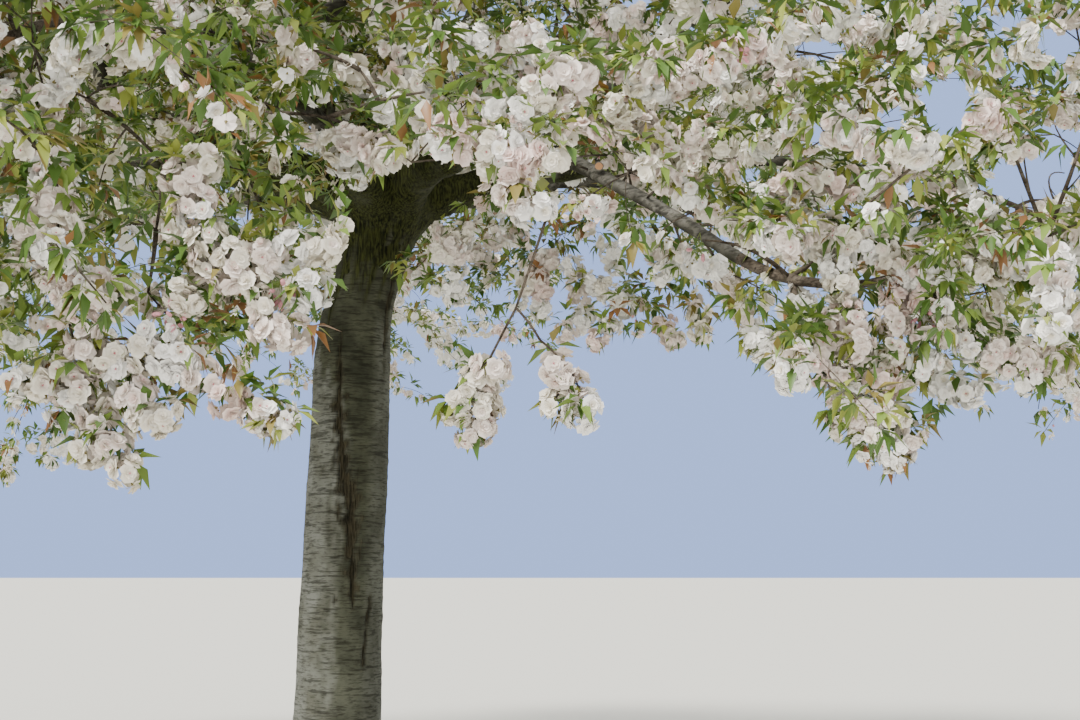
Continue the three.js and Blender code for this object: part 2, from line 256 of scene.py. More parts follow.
@dataclass(frozen=True)
class TreePlan:
    """The crown's driving sizes, and the limbs and masses that follow from them."""

    head: Triple = HEAD
    head_rise: float = 0.04
    low_boughs: tuple[LowBough, ...] = (
        LowBough("right", 2, 2.5, (0.3, -0.12), 2.18, 0.8),
        LowBough("back_right", 47, 2.7, (0.3, -0.12), 3.0, 0.56),
        LowBough("back", 93, 2.62, (0.3, -0.12), 2.45, 0.68),
        LowBough("back_left", 136, 2.52, (0.3, -0.12), 2.14, 0.82),
        LowBough("left", 179, 2.5, (0.3, -0.12), 2.08, 0.84),
        LowBough("front_left", -139, 2.4, (0.3, -0.32), 1.98, 0.82),
        LowBough("front", -98, 2.33, (0.3, -0.32), 1.93, 0.78),
        LowBough("front_right", -53, 1.8, (0.45, -0.6), 1.72, 0.64),
    )
    low_reach: float = 2.18
    low_seed: int = 11
    rim_radius: float = 2.93
    rim_half: Pair = (1.18, 0.79)
    side: LimbRing = LimbRing(8, 24, (1.7, 3.02), (2.08, 3.33), (0.98, 0.86, 0.7), (0.9, 0.25), 31)
    side_from: float = 1 / 2
    rising: LimbRing = LimbRing(4, 22, (0.7, 3.6), (1.08, 4.06), (1.0, 0.96, 0.76), (1.5, 1.6), 61)
    inner: LimbRing = LimbRing(4, -23, (0.8, 2.86), (1.06, 3.08), (0.76, 0.7, 0.48), (0.35, 0.2), 81)
    inner_from: float = 1 / 3
    leader_tip: Triple = (0.19, 0.06, 3.93)
    leader_slopes: Pair = (6.0, 5.0)
    leader_seed: int = 91
    top_heart: Triple = (0.15, 0.04, 4.54)
    top_half: Triple = (0.84, 0.84, 0.5)
    mass_seed: int = 500
    mass_seed_step: int = 37
    taper: float = 0.75
    limb_rings: int = 6
    handle: float = 0.38
    handle_rise: float = 0.6
    wander: float = 0.034
    clear: float = 0.006

    def limb(self, name: str, kind: Kind, ends: list[Array], slopes: Pair, seed: int) -> Limb:
        """Args:
            name: its name.
            kind: what it does in the crown.
            ends: where it leaves, and its tip.
            slopes: its slopes there.
            seed: what it wanders by.

        Returns: the limb.
        """
        dice = Dice(seed)
        start, tip = ends
        run = float(np.hypot(*(tip - start)[:2]))
        way = unit(np.array([tip[0] - start[0], tip[1] - start[1], 0.0]))
        handle = max(run, self.handle_rise * (tip[2] - start[2])) * self.handle
        leaves = start + unit(way + [0, 0, slopes[0]]) * handle
        arrives = tip - unit(way + [0, 0, slopes[1]]) * handle
        aside = np.array([-way[1], way[0], 0.0])
        shares = np.linspace(0, 1, self.limb_rings + 1)
        points = []
        for i in range(self.limb_rings + 1):
            t = i / self.limb_rings
            point = (1 - t) ** 3 * start + 3 * t * (1 - t) ** 2 * leaves
            point = point + 3 * t**2 * (1 - t) * arrives + t**3 * tip
            swing = self.wander * sin(pi * t)
            sideways = (dice.draw() - 0.5) * 2 * swing
            up = (dice.draw() - 0.5) * swing
            points.append(point + aside * sideways + [0, 0, up])
        root, end = LIMB_RADII[kind]
        return Limb(name, kind, np.array(points), root + (end - root) * shares**self.taper)

    def along(self, limb: Limb, share: float) -> Array:
        """Returns: the point on a limb a share of the way along it."""
        return limb.path[round(share * self.limb_rings)]

    def ring(self, kind: Kind, sizes: LimbRing, starts: list[Array]) -> list[tuple[Limb, Array, Triple]]:
        """Args:
            kind: what its limbs do in the crown.
            sizes: its sizes.
            starts: where each limb leaves.

        Returns: each limb, with the middle and the half sizes of its mass.
        """
        made = []
        for i, start in enumerate(starts):
            angle = sizes.first + 360 / sizes.count * i
            ends = [start, polar(sizes.tip[0], angle, sizes.tip[1])]
            limb = self.limb(f"bough_{kind.value}_{i + 1}", kind, ends, sizes.slopes, sizes.seed + i)
            made.append((limb, polar(sizes.heart[0], angle, sizes.heart[1]), sizes.half))
        return made

    def plan(self) -> list[Mass]:
        """Returns: every mass, each with the limb that carries it."""
        head = np.array(self.head)
        above = head + [0, 0, self.head_rise]
        lows = []
        for i, low in enumerate(self.low_boughs):
            ends = [head, polar(self.low_reach, low.angle, low.tip)]
            limb = self.limb("bough_" + low.name, Kind.LOW, ends, low.slopes, self.low_seed + i)
            lows.append((limb, polar(self.rim_radius, low.angle, low.heart), (*self.rim_half, low.half)))
        risings = self.ring(Kind.RISING, self.rising, [above] * self.rising.count)
        sides = self.ring(Kind.SIDE, self.side, [self.along(low, self.side_from) for low, _, _ in lows])
        starts = [self.along(rising, self.inner_from) for rising, _, _ in risings]
        inners = self.ring(Kind.INNER, self.inner, starts)
        ends = [above, np.array(self.leader_tip)]
        leader = self.limb("bough_leader", Kind.LEADER, ends, self.leader_slopes, self.leader_seed)
        masses = []
        top = (leader, np.array(self.top_heart), self.top_half)
        for i, (limb, heart, half) in enumerate([*lows, *risings, *sides, *inners, top]):
            name = limb.name.replace("bough_", "blossom_")
            seed = self.mass_seed + self.mass_seed_step * i
            masses.append(Mass(name, limb.kind, limb, heart, np.array(half), seed))
        return masses


class Spaces:
    """The room that each mass keeps to, and the limbs that nothing may touch."""

    def __init__(self, masses: list[Mass], clear: float) -> None:
        """Args:
            masses: every mass of the crown.
            clear: the room kept from a limb or another mass's space.
        """
        self.clear = clear
        self.hearts = np.array([mass.heart for mass in masses])
        limbs = [mass.limb for mass in masses]
        self.starts = np.concatenate([limb.path[:-1] for limb in limbs])
        self.steps = np.concatenate([np.diff(limb.path, axis=0) for limb in limbs])
        self.thick = np.concatenate([np.maximum(limb.radii[:-1], limb.radii[1:]) for limb in limbs])

    def limb_distance(self, points: Array) -> Array:
        """Args:
            points: points, one a row.

        Returns: each point's distance from the nearest limb's bark, less than zero inside it.
        """
        away = points[:, None, :] - self.starts
        share = np.clip((away * self.steps).sum(2) / (self.steps**2).sum(1), 0, 1)
        gaps = norm(away - share[..., None] * self.steps, axis=2) - self.thick
        return gaps.min(axis=1)

    def fits(self, mass: Mass, points: Array, radius: float, bound: float = 1.04) -> Array:
        """Args:
            mass: the mass whose space it is.
            points: points, one a row.
            radius: the room that each needs about it.
            bound: how far out the rounded bounds are taken.

        Returns: True for each one in the space and clear of every limb.
        """
        away = np.atleast_2d(points) - mass.heart
        inside = norm(away @ mass.axes().T / mass.half, axis=1) <= bound
        to = self.hearts - mass.heart
        reach = norm(to, axis=1)
        others = reach > 1e-9
        planes = away @ (to[others] / reach[others, None]).T <= reach[others] / 2 - radius - self.clear
        return inside & planes.all(axis=1) & (self.limb_distance(mass.heart + away) > radius + self.clear)


@dataclass(frozen=True)
class Twig:
    """A twig's three control points, its radius at root and tip, its run, whether it is a fine one, the share
    of it that stays bare, and whether it may be a leafy one."""

    control: Array
    root: float
    tip: float
    run: float
    fine: bool
    bare: float
    may_leaf: bool = True

    def radius(self, share: float) -> float:
        """Returns: the radius at a share of the way along."""
        return self.root + (self.tip - self.root) * share


@dataclass(frozen=True)
class Bud:
    """A place that a twig may grow from."""

    point: Array
    heading: Array
    radius: float


@dataclass(frozen=True)
class TwigRule:
    """How twigs branch: each target is reached from the nearest place that has grown, counting a turn back as
    further, and those by the stem's root come first.

    Runs are the shortest and the longest. Targets keep apart, reach a share of the mass's bounds and have
    room. A root is a radius and what a metre of run adds. A metre lifts and bends the middle by so much."""

    run: Pair
    apart: float
    reach: float
    room: float
    tip: float
    root: Pair
    lift: float
    fine: bool
    bend: float = 0.3
    turn_cost: float = 0.7
    thickest: float = 0.75
    looked_at: Row = (0.3, 0.5, 0.75, 1.0)

    def twig(self, buds: list[Bud], target: Array, jitter: Pair, bare: float) -> Twig | None:
        """Args:
            buds: the places to grow from.
            target: the twig's end.
            jitter: how far it bends aside, each from -0.5 to 0.5.
            bare: the share of it that stays bare.

        Returns: the twig, or nothing where no place is in range.
        """
        points = np.array([bud.point for bud in buds])
        headings = np.array([bud.heading for bud in buds])
        ways = target - points
        runs = norm(ways, axis=1)
        onwards = (ways * headings).sum(1)
        price = runs * (1 + self.turn_cost - self.turn_cost * onwards / np.maximum(runs, 1e-9))
        price[(runs < self.run[0]) | (runs > self.run[1])] = np.inf
        best = int(np.argmin(price))
        if not np.isfinite(price[best]):
            return None
        bud, run = buds[best], float(runs[best])
        bend = [self.bend * run * jitter[0], self.bend * run * jitter[1], self.lift * run]
        radius = min(self.thickest * bud.radius, self.root[0] + self.root[1] * run)
        middle = (bud.point + target) / 2 + bend
        return Twig(np.array([bud.point, middle, target]), radius, self.tip, run, self.fine, bare)


FIRST_TWIGS = TwigRule((0.17, 1.15), 0.4, 0.88, 0.15, 0.006, (0.005, 0.012), 0.16, False)
FINE_TWIGS = TwigRule((0.1, 0.7), 0.14, 0.93, 0.05, 0.0017, (0.0024, 0.0055), 0.1, True)
HANGING_TWIGS = TwigRule((0.04, 1.4), 0.0, 1.0, 0.0, 0.0018, (0.003, 0.004), 0.08, True)
FIRST_COUNTS = {Kind.LOW: 10, Kind.SIDE: 7, Kind.RISING: 8, Kind.INNER: 4, Kind.LEADER: 8}
FINE_COUNTS = {Kind.LOW: 96, Kind.SIDE: 68, Kind.RISING: 70, Kind.INNER: 34, Kind.LEADER: 60}
LIMB_COUNTS = {Kind.LOW: 24, Kind.SIDE: 10, Kind.RISING: 12, Kind.INNER: 5, Kind.LEADER: 8}


@dataclass(frozen=True)
class LimbTwigs:
    """Twigs that leave the outer part of a limb: that part, their shortest and longest run, their radius at
    the root, and how much they lean along the limb and up. Their forks have a share of their run and what
    chance adds. Where the limb is seen close, more twigs reach for places in a sleeve about it."""

    part: Pair = (0.3, 0.97)
    run: Pair = (0.25, 0.68)
    root: float = 0.005
    lean: float = 0.4
    forks: Row = (0.4, 0.75)
    fork_spread: float = 0.9
    fork_run: Pair = (0.4, 0.3)
    bend_at: float = 0.5
    lift: float = 0.06
    bare: float = 0.2
    looked_at: Row = (0.55, 0.8, 1.0)
    clear: float = 0.02
    sleeve: float = 0.55
    sleeve_clear: float = 0.05


LIMB_TWIGS = LimbTwigs()


@dataclass(frozen=True)
class Shoot:
    """A shoot that the photograph shows: where its end is seen, in the photograph's pixels, its depth, the
    share of it that stays bare, and its radius where it isn't the rule's. None of them is a leafy one."""

    across: float
    down: float
    depth: float
    bare: float = 0.2
    root: float = 0.0


FRONT_GARLANDS = (
    ((20, 205), (38, 228)), ((18, 258), (62, 268), (104, 278), (128, 292)), ((92, 332), (118, 352)),
    ((150, 338), (186, 350), (212, 372), (236, 394)), ((62, 402), (104, 418), (150, 410), (170, 400)),
    ((88, 440), (128, 462)), ((16, 368), (52, 356)), ((212, 244), (246, 246)),
    ((228, 272), (264, 278)), ((300, 236), (334, 230)), ((290, 280), (322, 274)),
    ((272, 320), (306, 322)), ((270, 404), (288, 408)), ((82, 26), (122, 42), (176, 30)),
    ((180, 160), (212, 146)), ((448, 142), (488, 130), (530, 140), (562, 146)), ((545, 75), (585, 60)),
    ((515, 190), (538, 196)),
)
FRONT_RIGHT_GARLANDS = (
    ((575, 85), (612, 102)), ((722, 50), (740, 86)), ((775, 35), (786, 72)),
    ((835, 75), (840, 110), (870, 102)), ((668, 130), (700, 125), (728, 132)),
    ((668, 180), (700, 188)), ((718, 215), (755, 218)), ((765, 185), (800, 200)),
    ((805, 165), (850, 175), (888, 163)), ((830, 220), (870, 238), (908, 250)),
    ((940, 260), (975, 262), (1005, 255)), ((1030, 250), (1062, 255)),
    ((845, 305), (900, 290), (930, 290)), ((888, 322), (925, 328), (955, 325)),
    ((890, 350), (925, 356)), ((797, 335), (822, 342)),
    ((812, 370), (842, 365), (878, 378), (850, 392)), ((830, 405), (870, 410)),
    ((895, 420), (922, 426)), ((868, 440), (895, 452)), ((752, 332), (775, 345)),
    ((1020, 352), (1035, 370)), ((1060, 345),),
)


def garland_shoots(garlands: tuple[tuple[Pair, ...], ...], depth: float) -> list[Shoot]:
    """Returns: a shoot to each point along garlands of the photograph, with blossom all along it."""
    return [Shoot(across, down, depth, bare=0.0) for garland in garlands for across, down in garland]


def shoots(*ends: Row) -> list[Shoot]:
    """Returns: a shoot to each end, given by the values of its fields."""
    return [Shoot(*end) for end in ends]


SHOOTS = {
    "blossom_front": (
        *shoots(
            (50, 85, 3.35, 1.0), (0, 22, 3.35, 1.0, 0.01), (86, 98, 3.35, 1.0, 0.006),
            (114, 36, 3.35, 0.9, 0.006), (164, 165, 3.35, 1.0, 0.007), (156, 230, 3.3, 1.0, 0.007),
            (148, 292, 3.25, 0.8, 0.006), (328, 118, 3.4, 1.0, 0.008), (242, 97, 3.35, 0.9, 0.008),
            (425, 92, 3.45, 1.0, 0.007), (360, 70, 3.45, 1.0, 0.006), (298, 46, 3.45, 0.8, 0.006),
            (347, 154, 3.47), (411, 162, 3.22), (470, 99, 3.2), (440, 128, 3.3), (395, 95, 3.5),
            (420, 40, 3.6), (350, 60, 3.5), (480, 30, 3.7), (520, 165, 3.11, 0.4),
            (546, 219, 3.09, 1.0, 0.0035), (516, 308, 3.1, 1.0, 0.0032), (490, 358, 3.1, 0.9, 0.0028),
            (454, 400, 3.11, 0.0), (488, 405, 3.11, 0.0), (470, 425, 3.11, 0.0),
            (540, 340, 3.08, 1.0, 0.0028), (572, 374, 3.07, 0.2, 0.0025), (556, 398, 3.07, 0.3),
            (584, 400, 3.06, 0.3),
        ),
        *garland_shoots(FRONT_GARLANDS, 2.92),
    ),
    "blossom_front_right": (
        *shoots(
            (631, 173, 3.79), (584, 122, 3.5), (628, 172, 3.38), (577, 205, 3.63), (545, 120, 3.7),
            (510, 135, 3.75), (525, 198, 3.8), (560, 60, 3.9), (620, 50, 3.9), (520, 20, 4.0),
        ),
        *garland_shoots(FRONT_RIGHT_GARLANDS, 3.55),
    ),
}


@dataclass(frozen=True)
class Openings:
    """Where the view stays open: below the near boughs' lower edge, in small gaps of the crown, given by
    middle and half size, and before the wood that is seen bare, given by place, depth and half width. Places
    are in the photograph's pixels, and depths in metres."""

    nearer_than: float = 5.0
    edge_across: Row = (
        *(0, 55, 90, 140, 178, 245, 265, 310, 326, 338, 352, 440, 560),
        *(602, 643, 691, 747, 752, 802, 850, 880, 915, 945, 1080),
    )
    edge_down: Row = (
        *(380, 415, 470, 470, 408, 395, 425, 405, 330, 290, 190, 190, 232),
        *(235, 258, 285, 312, 344, 379, 440, 462, 460, 385, 372),
    )
    gaps: tuple[tuple[float, float, float, float], ...] = (
        (948, 106, 24, 30), (818, 50, 30, 12), (1060, 42, 30, 14), (1034, 180, 48, 22),
        (1062, 136, 20, 12), (888, 118, 15, 12), (1010, 20, 20, 9), (817, 132, 8, 15),
    )
    wood: tuple[tuple[tuple[float, float, float, float], ...], ...] = (
        (
            (574, 152, 5.0, 22), (598, 165, 4.9, 31), (625, 184, 4.8, 24), (662, 208, 4.6, 20),
            (740, 258, 4.3, 20), (782, 275, 4.15, 18), (826, 284, 4.1, 15),
        ),
        ((0, 22, 3.35, 15), (50, 85, 3.35, 15)),
        ((86, 98, 3.35, 22), (112, 40, 3.35, 22)),
        ((150, 285, 3.25, 45), (158, 225, 3.3, 55), (164, 165, 3.35, 45)),
        ((244, 98, 3.35, 12), (325, 118, 3.35, 12)),
        ((300, 48, 3.4, 12), (360, 70, 3.4, 12), (425, 92, 3.4, 12)),
        (
            (346, 230, 6.1, 36), (385, 216, 6.1, 44), (425, 192, 6.1, 42), (450, 178, 6.1, 20),
            (484, 174, 6.0, 14),
        ),
        ((554, 178, 6.0, 15), (606, 186, 6.0, 15)),
    )

    def show(self, points: Array) -> Array:
        """Args:
            points: points, one a row.

        Returns: True for each one that would show in a gap or before the wood that is seen bare.
        """
        across, down, depth = VIEW.see(points)
        middles = np.array(self.gaps)
        shares = (np.stack([across, down], axis=1)[:, None] - middles[:, :2]) / middles[:, 2:]
        hidden = ((shares**2).sum(axis=2) < 1).any(axis=1)
        for line in self.wood:
            along, level, far, half = np.array(line).T
            level, far, half = (np.interp(across, along, values) for values in (level, far, half))
            beside = (across > along[0]) & (across < along[-1])
            hidden |= beside & (np.abs(down - level) < half) & (depth < far)
        return hidden

    def closed(self, points: Array) -> Array:
        """Returns: True for each point where twigs may grow, as it shows in no opening."""
        across, down, depth = VIEW.see(points)
        below = (down > np.interp(across, self.edge_across, self.edge_down)) & (depth < self.nearer_than)
        return ~below & ~self.show(points)


OPENINGS = Openings()


class MassGrowth:
    """One mass's stem and twigs: the first as the solids have them, then finer ones in its space and along
    its limb."""

    STEM_BEND, STEM_PAST, STEM_TIP, STEM_BUDS = 0.55, 0.3, 0.008, 4
    FIRST_TRIES, FIRST_BARE = 60, 0.35
    SHOOT_JITTER, SHOOT_TAPER = (0.1, 0.1), 0.8
    FINE_TRIES, FINE_BUDS = 40, (0.25, 0.45, 0.65, 0.85)
    FINE_BARE, BARE_CHANCES = (0.1, 0.3, 0.6), (0.6, 0.25, 0.15)
    COVER_TRIES, COVER_APART, COVER_SPREAD = 6000, 22.0, 0.8
    COVER_JITTER, COVER_BARE, COVER_SEEN = (0.2, -0.2), 0.2, (0.5, 0.75, 1.0)
    BUDS, FINE_SEED = (0.5, 1.0), 1000

    def __init__(self, mass: Mass, spaces: Spaces, near: bool) -> None:
        """Args:
            mass: the mass to grow.
            spaces: the room in the crown.
            near: whether it is seen close, so that it has the photograph's gaps alone.
        """
        self.mass = mass
        self.spaces = spaces
        self.chance = np.random.default_rng(mass.seed + self.FINE_SEED)
        self.stem = self.grow_stem()
        self.buds: list[Bud] = []
        self.twigs: list[Twig] = []
        self.grow_first()
        self.grow_shoots()
        self.grow_on_limb()
        self.grow_fine()
        if near:
            self.grow_cover()

    def add(self, twig: Twig | None) -> Twig | None:
        """Args:
            twig: a twig, or nothing.

        Returns: the same. Others may now grow from its middle and its end.
        """
        if twig:
            self.twigs.append(twig)
            self.add_buds(twig, self.BUDS)
        return twig

    def add_buds(self, twig: Twig, shares: Row) -> None:
        """Args:
            twig: a twig.
            shares: how far along it others may now grow.
        """
        for share in shares:
            point, heading = quadratic(twig.control, share), quadratic_heading(twig.control, share)
            self.buds.append(Bud(point, heading, twig.radius(share)))

    def reach(self, rule: TwigRule, target: Array, jitter: Pair, bare: float) -> Twig | None:
        """Returns: the twig that a rule grows to a target, or nothing where it can't or has no room."""
        twig = rule.twig(self.buds, target, jitter, bare)
        if twig and not self.spaces.fits(self.mass, quadratic(twig.control, rule.looked_at), twig.root).all():
            return None
        return self.add(twig)

    def grow_stem(self) -> Twig:
        """Returns: the stem, which goes on from inside the bough's tip, past the mass's heart."""
        path, radii = self.mass.limb.path, self.mass.limb.radii
        tip, heading = path[-1], unit(path[-1] - path[-2])
        way = self.mass.heart - tip
        reach = float(norm(way))
        end = self.mass.heart + unit(way) * self.STEM_PAST * reach
        control = np.array([tip - heading * self.spaces.clear, tip + heading * self.STEM_BEND * reach, end])
        return Twig(control, float(radii[-1]), self.STEM_TIP, (1 + self.STEM_PAST) * reach, False, 1.0)

    def target(self, draw: Triple, reach: float, spread: float = 0.4) -> Array:
        """Args:
            draw: three numbers from 0 to 1.
            reach: how near the mass's bounds the point may come.
            spread: how points spread, more to the outside the smaller it is.

        Returns: a point in the mass's rounded bounds.
        """
        turn, up, share = 2 * pi * draw[0], 2 * draw[1] - 1, reach * draw[2] ** spread
        level = sqrt(1 - up * up)
        shares = np.array([cos(turn) * level, sin(turn) * level, up]) * share * self.mass.half
        return self.mass.heart + shares @ self.mass.axes()

    def grow_first(self) -> None:
        """Grows the twigs that the solids have, with the same draws in the same order."""
        rule, dice = FIRST_TWIGS, Dice(self.mass.seed)
        centres = quadratic(self.stem.control, np.linspace(0, 1, self.STEM_BUDS + 1))
        for i in range(1, self.STEM_BUDS + 1):
            heading = unit(centres[i] - centres[i - 1])
            self.buds.append(Bud(centres[i], heading, self.stem.radius(i / self.STEM_BUDS)))
        wanted = FIRST_COUNTS[self.mass.kind]
        targets: list[Array] = []
        tries = 0
        while tries < self.FIRST_TRIES * wanted and len(targets) < wanted:
            target = self.target((dice.draw(), dice.draw(), dice.draw()), rule.reach)
            apart = all(norm(other - target) > rule.apart for other in targets)
            if apart and self.spaces.fits(self.mass, target, rule.room)[0]:
                targets.append(target)
            tries += 1
        targets.sort(key=lambda point: float(norm(point - centres[0])))
        for target in targets:
            jitter = (dice.draw() - 0.5, dice.draw() - 0.5)
            # The solids' rule draws once more here, for the garland at the twig's end.
            dice.draw()
            self.reach(rule, target, jitter, self.FIRST_BARE)

    def grow_shoots(self) -> None:
        """Grows the shoots whose places the photograph shows, each from the nearest twig."""
        for shoot in SHOOTS.get(self.mass.name, ()):
            end = VIEW.point(shoot.across, shoot.down, shoot.depth)
            twig = HANGING_TWIGS.twig(self.buds, end, self.SHOOT_JITTER, shoot.bare)
            if twig:
                root, fine = shoot.root or twig.root, not shoot.root
                self.add(replace(twig, may_leaf=False, root=root, tip=self.SHOOT_TAPER * root, fine=fine))

    def on_limb(self, share: float) -> Array:
        """Returns: the point on the mass's limb a share of the way along it."""
        path = self.mass.limb.path
        places = np.linspace(0, 1, len(path))
        return np.array([np.interp(share, places, path[:, i]) for i in range(3)])

    def grow_on_limb(self) -> None:
        """Grows twigs straight from the outer part of the limb, most of them upwards, and their forks."""
        chance, sizes = self.chance, LIMB_TWIGS
        shortest, longest = sizes.run
        least, more = sizes.fork_run
        heading = unit(self.mass.limb.path[-1] - self.mass.limb.path[0])
        for share in np.linspace(*sizes.part, LIMB_COUNTS[self.mass.kind]):
            way = chance.normal(size=3) + sizes.lean * heading + [0, 0, sizes.lean]
            run = shortest + (longest - shortest) * chance.random()
            twig = self.grow_free(self.on_limb(share), way, run, sizes.root)
            for at in sizes.forks:
                aside = sizes.fork_spread * chance.normal(size=3)
                part = least + more * chance.random()
                if twig:
                    way = quadratic_heading(twig.control, at) + aside
                    self.grow_free(quadratic(twig.control, at), way, part * run, twig.radius(at))

    def grow_free(self, point: Array, way: Array, run: float, radius: float) -> Twig | None:
        """Args:
            point: where the twig leaves.
            way: its direction.
            run: its length.
            radius: its radius there.

        Returns: the twig, or nothing where it would meet a limb or show in an opening.
        """
        way, sizes = unit(way), LIMB_TWIGS
        middle = point + way * sizes.bend_at * run + [0, 0, sizes.lift * run]
        control = np.array([point, middle, point + way * run])
        outer = quadratic(control, sizes.looked_at)
        free = (self.spaces.limb_distance(outer) > sizes.clear).all() and OPENINGS.closed(outer).all()
        return self.add(Twig(control, radius, FINE_TWIGS.tip, run, True, sizes.bare) if free else None)

    def grow_fine(self) -> None:
        """Carries the same rule on to finer twigs, from places all along what has grown."""
        rule, chance = FINE_TWIGS, self.chance
        for parent in [self.stem, *self.twigs]:
            self.add_buds(parent, self.FINE_BUDS)
        wanted = FINE_COUNTS[self.mass.kind]
        targets = np.zeros((0, 3))
        for target in self.free_targets(self.FINE_TRIES * wanted):
            if len(targets) < wanted and (norm(targets - target, axis=1) > rule.apart).all():
                targets = np.vstack([targets, target])
        root = self.stem.control[0]
        for target in sorted(targets, key=lambda point: float(norm(point - root))):
            jitter = tuple(chance.random(2) - 0.5)
            self.reach(rule, target, jitter, float(chance.choice(self.FINE_BARE, p=self.BARE_CHANCES)))

    def free_targets(self, tries: int, spread: float = 0.4) -> Array:
        """Args:
            tries: how many targets are drawn.
            spread: how they spread.

        Returns: those with room that don't show in an opening.
        """
        draws = self.chance.random((tries, 3))
        drawn = np.array([self.target(tuple(draw), FINE_TWIGS.reach, spread) for draw in draws])
        return drawn[self.spaces.fits(self.mass, drawn, FINE_TWIGS.room) & OPENINGS.closed(drawn)]

    def sleeve_targets(self, tries: int) -> Array:
        """Args:
            tries: how many targets are drawn about the limb's outer part.

        Returns: those with room that don't show in an opening.
        """
        chance, sizes = self.chance, LIMB_TWIGS
        centres = np.array([self.on_limb(share) for share in chance.uniform(*sizes.part, tries)])
        ways = unit(chance.normal(size=(tries, 3)))
        drawn = centres + ways * sizes.sleeve * chance.random((tries, 1)) ** 0.5
        return drawn[(self.spaces.limb_distance(drawn) > sizes.sleeve_clear) & OPENINGS.closed(drawn)]

    def seen(self, points: Array) -> Array:
        """Returns: where points show in the photograph, in its pixels, one a row."""
        return np.stack(VIEW.see(points)[:2], axis=1)

    def grow_cover(self) -> None:
        """Adds fine twigs, in the mass and about its limb, where the viewer would see through them."""
        dressed = [quadratic(twig.control, self.COVER_SEEN) for twig in self.twigs if twig.bare < 1]
        covered = self.seen(np.concatenate(dressed))
        about_limb = self.sleeve_targets(self.COVER_TRIES)
        targets = np.concatenate([about_limb, self.free_targets(self.COVER_TRIES, self.COVER_SPREAD)])
        jitter, bare = self.COVER_JITTER, self.COVER_BARE
        for i in self.chance.permutation(len(targets)):
            if norm(covered - self.seen(targets[i : i + 1]), axis=1).min() < self.COVER_APART:
                continue
            if i < len(about_limb):
                twig = self.add(FINE_TWIGS.twig(self.buds, targets[i], jitter, bare))
            else:
                twig = self.reach(FINE_TWIGS, targets[i], jitter, bare)
            if twig:
                covered = np.vstack([covered, self.seen(quadratic(twig.control, self.COVER_SEEN))])


# Shapes that are repeated, and the meshes that they are joined into.


def placed(name: str, data: bpy.types.ID) -> Object:
    """Returns: a new object that holds the data, at the origin of the scene."""
    made = bpy.data.objects.new(name, data)
    bpy.context.scene.collection.objects.link(made)
    return made


def mesh_of(bm: BMesh, name: str, finishes: list[Material]) -> bpy.types.Mesh:
    """Args:
        bm: a bmesh, which is used up.
        name: the mesh's name.
        finishes: its materials.

    Returns: the mesh.
    """
    mesh = bpy.data.meshes.new(name)
    bm.to_mesh(mesh)
    bm.free()
    for finish in finishes:
        mesh.materials.append(finish)
    return mesh


@dataclass(frozen=True)
class Shape:
    """A small mesh: its points, its triangles, and which part of the shape each triangle is."""

    points: Array
    faces: Array
    parts: Array

    @classmethod
    def of(cls, bm: BMesh) -> "Shape":
        """Args:
            bm: a bmesh, which is used up.

        Returns: its triangles.
        """
        bmesh.ops.triangulate(bm, faces=bm.faces[:])
        bm.verts.index_update()
        points = np.array([vert.co[:] for vert in bm.verts])
        faces = np.array([[vert.index for vert in face.verts] for face in bm.faces])
        parts = np.array([face.material_index for face in bm.faces])
        bm.free()
        return cls(points, faces, parts)


@dataclass
class Batch:
    """Many copies of shapes on their way to one mesh."""

    points: list[Array] = field(default_factory=list)
    faces: list[Array] = field(default_factory=list)
    slots: list[Array] = field(default_factory=list)
    count: int = 0

    def add(self, points: Array, faces: Array, slots: Array | int = 0) -> None:
        """Args:
            points: copies by points by 3.
            faces: the triangles of one copy.
            slots: the finish of each triangle, copies by triangles, or of all.
        """
        copies, each = points.shape[:2]
        if not copies:
            return
        offsets = self.count + each * np.arange(copies)[:, None, None]
        self.points.append(points.reshape(-1, 3))
        self.faces.append((faces[None] + offsets).reshape(-1, 3))
        self.slots.append(np.broadcast_to(slots, (copies, len(faces))).reshape(-1))
        self.count += copies * each

    def copies(self, shape: Shape, places: Array, turns: Array, sizes: Array, slots: Array) -> None:
        """Adds a copy of a shape at each place, with its turn, its size and the slots of its parts."""
        points = np.einsum("nij,vj->nvi", turns, shape.points) * sizes[:, None, None] + places[:, None, :]
        self.add(points, shape.faces, slots[:, shape.parts])

    def piece(self, name: str, finishes: list[Material], smooth: bool = True) -> Object:
        """Args:
            name: the piece's name.
            finishes: its materials, one a slot.
            smooth: whether its faces are shaded smooth.

        Returns: the joined mesh as an object.
        """
        points = np.concatenate(self.points).astype(np.float32)
        faces = np.concatenate(self.faces).astype(np.int32)
        mesh = bpy.data.meshes.new(name)
        mesh.vertices.add(len(points))
        mesh.vertices.foreach_set("co", points.ravel())
        mesh.loops.add(faces.size)
        mesh.loops.foreach_set("vertex_index", faces.ravel())
        mesh.polygons.add(len(faces))
        mesh.polygons.foreach_set("loop_start", np.arange(0, faces.size, 3, dtype=np.int32))
        mesh.polygons.foreach_set("material_index", np.concatenate(self.slots).astype(np.int32))
        mesh.polygons.foreach_set("use_smooth", np.full(len(faces), smooth))
        for finish in finishes:
            mesh.materials.append(finish)
        mesh.update(calc_edges=True)
        return placed(name, mesh)


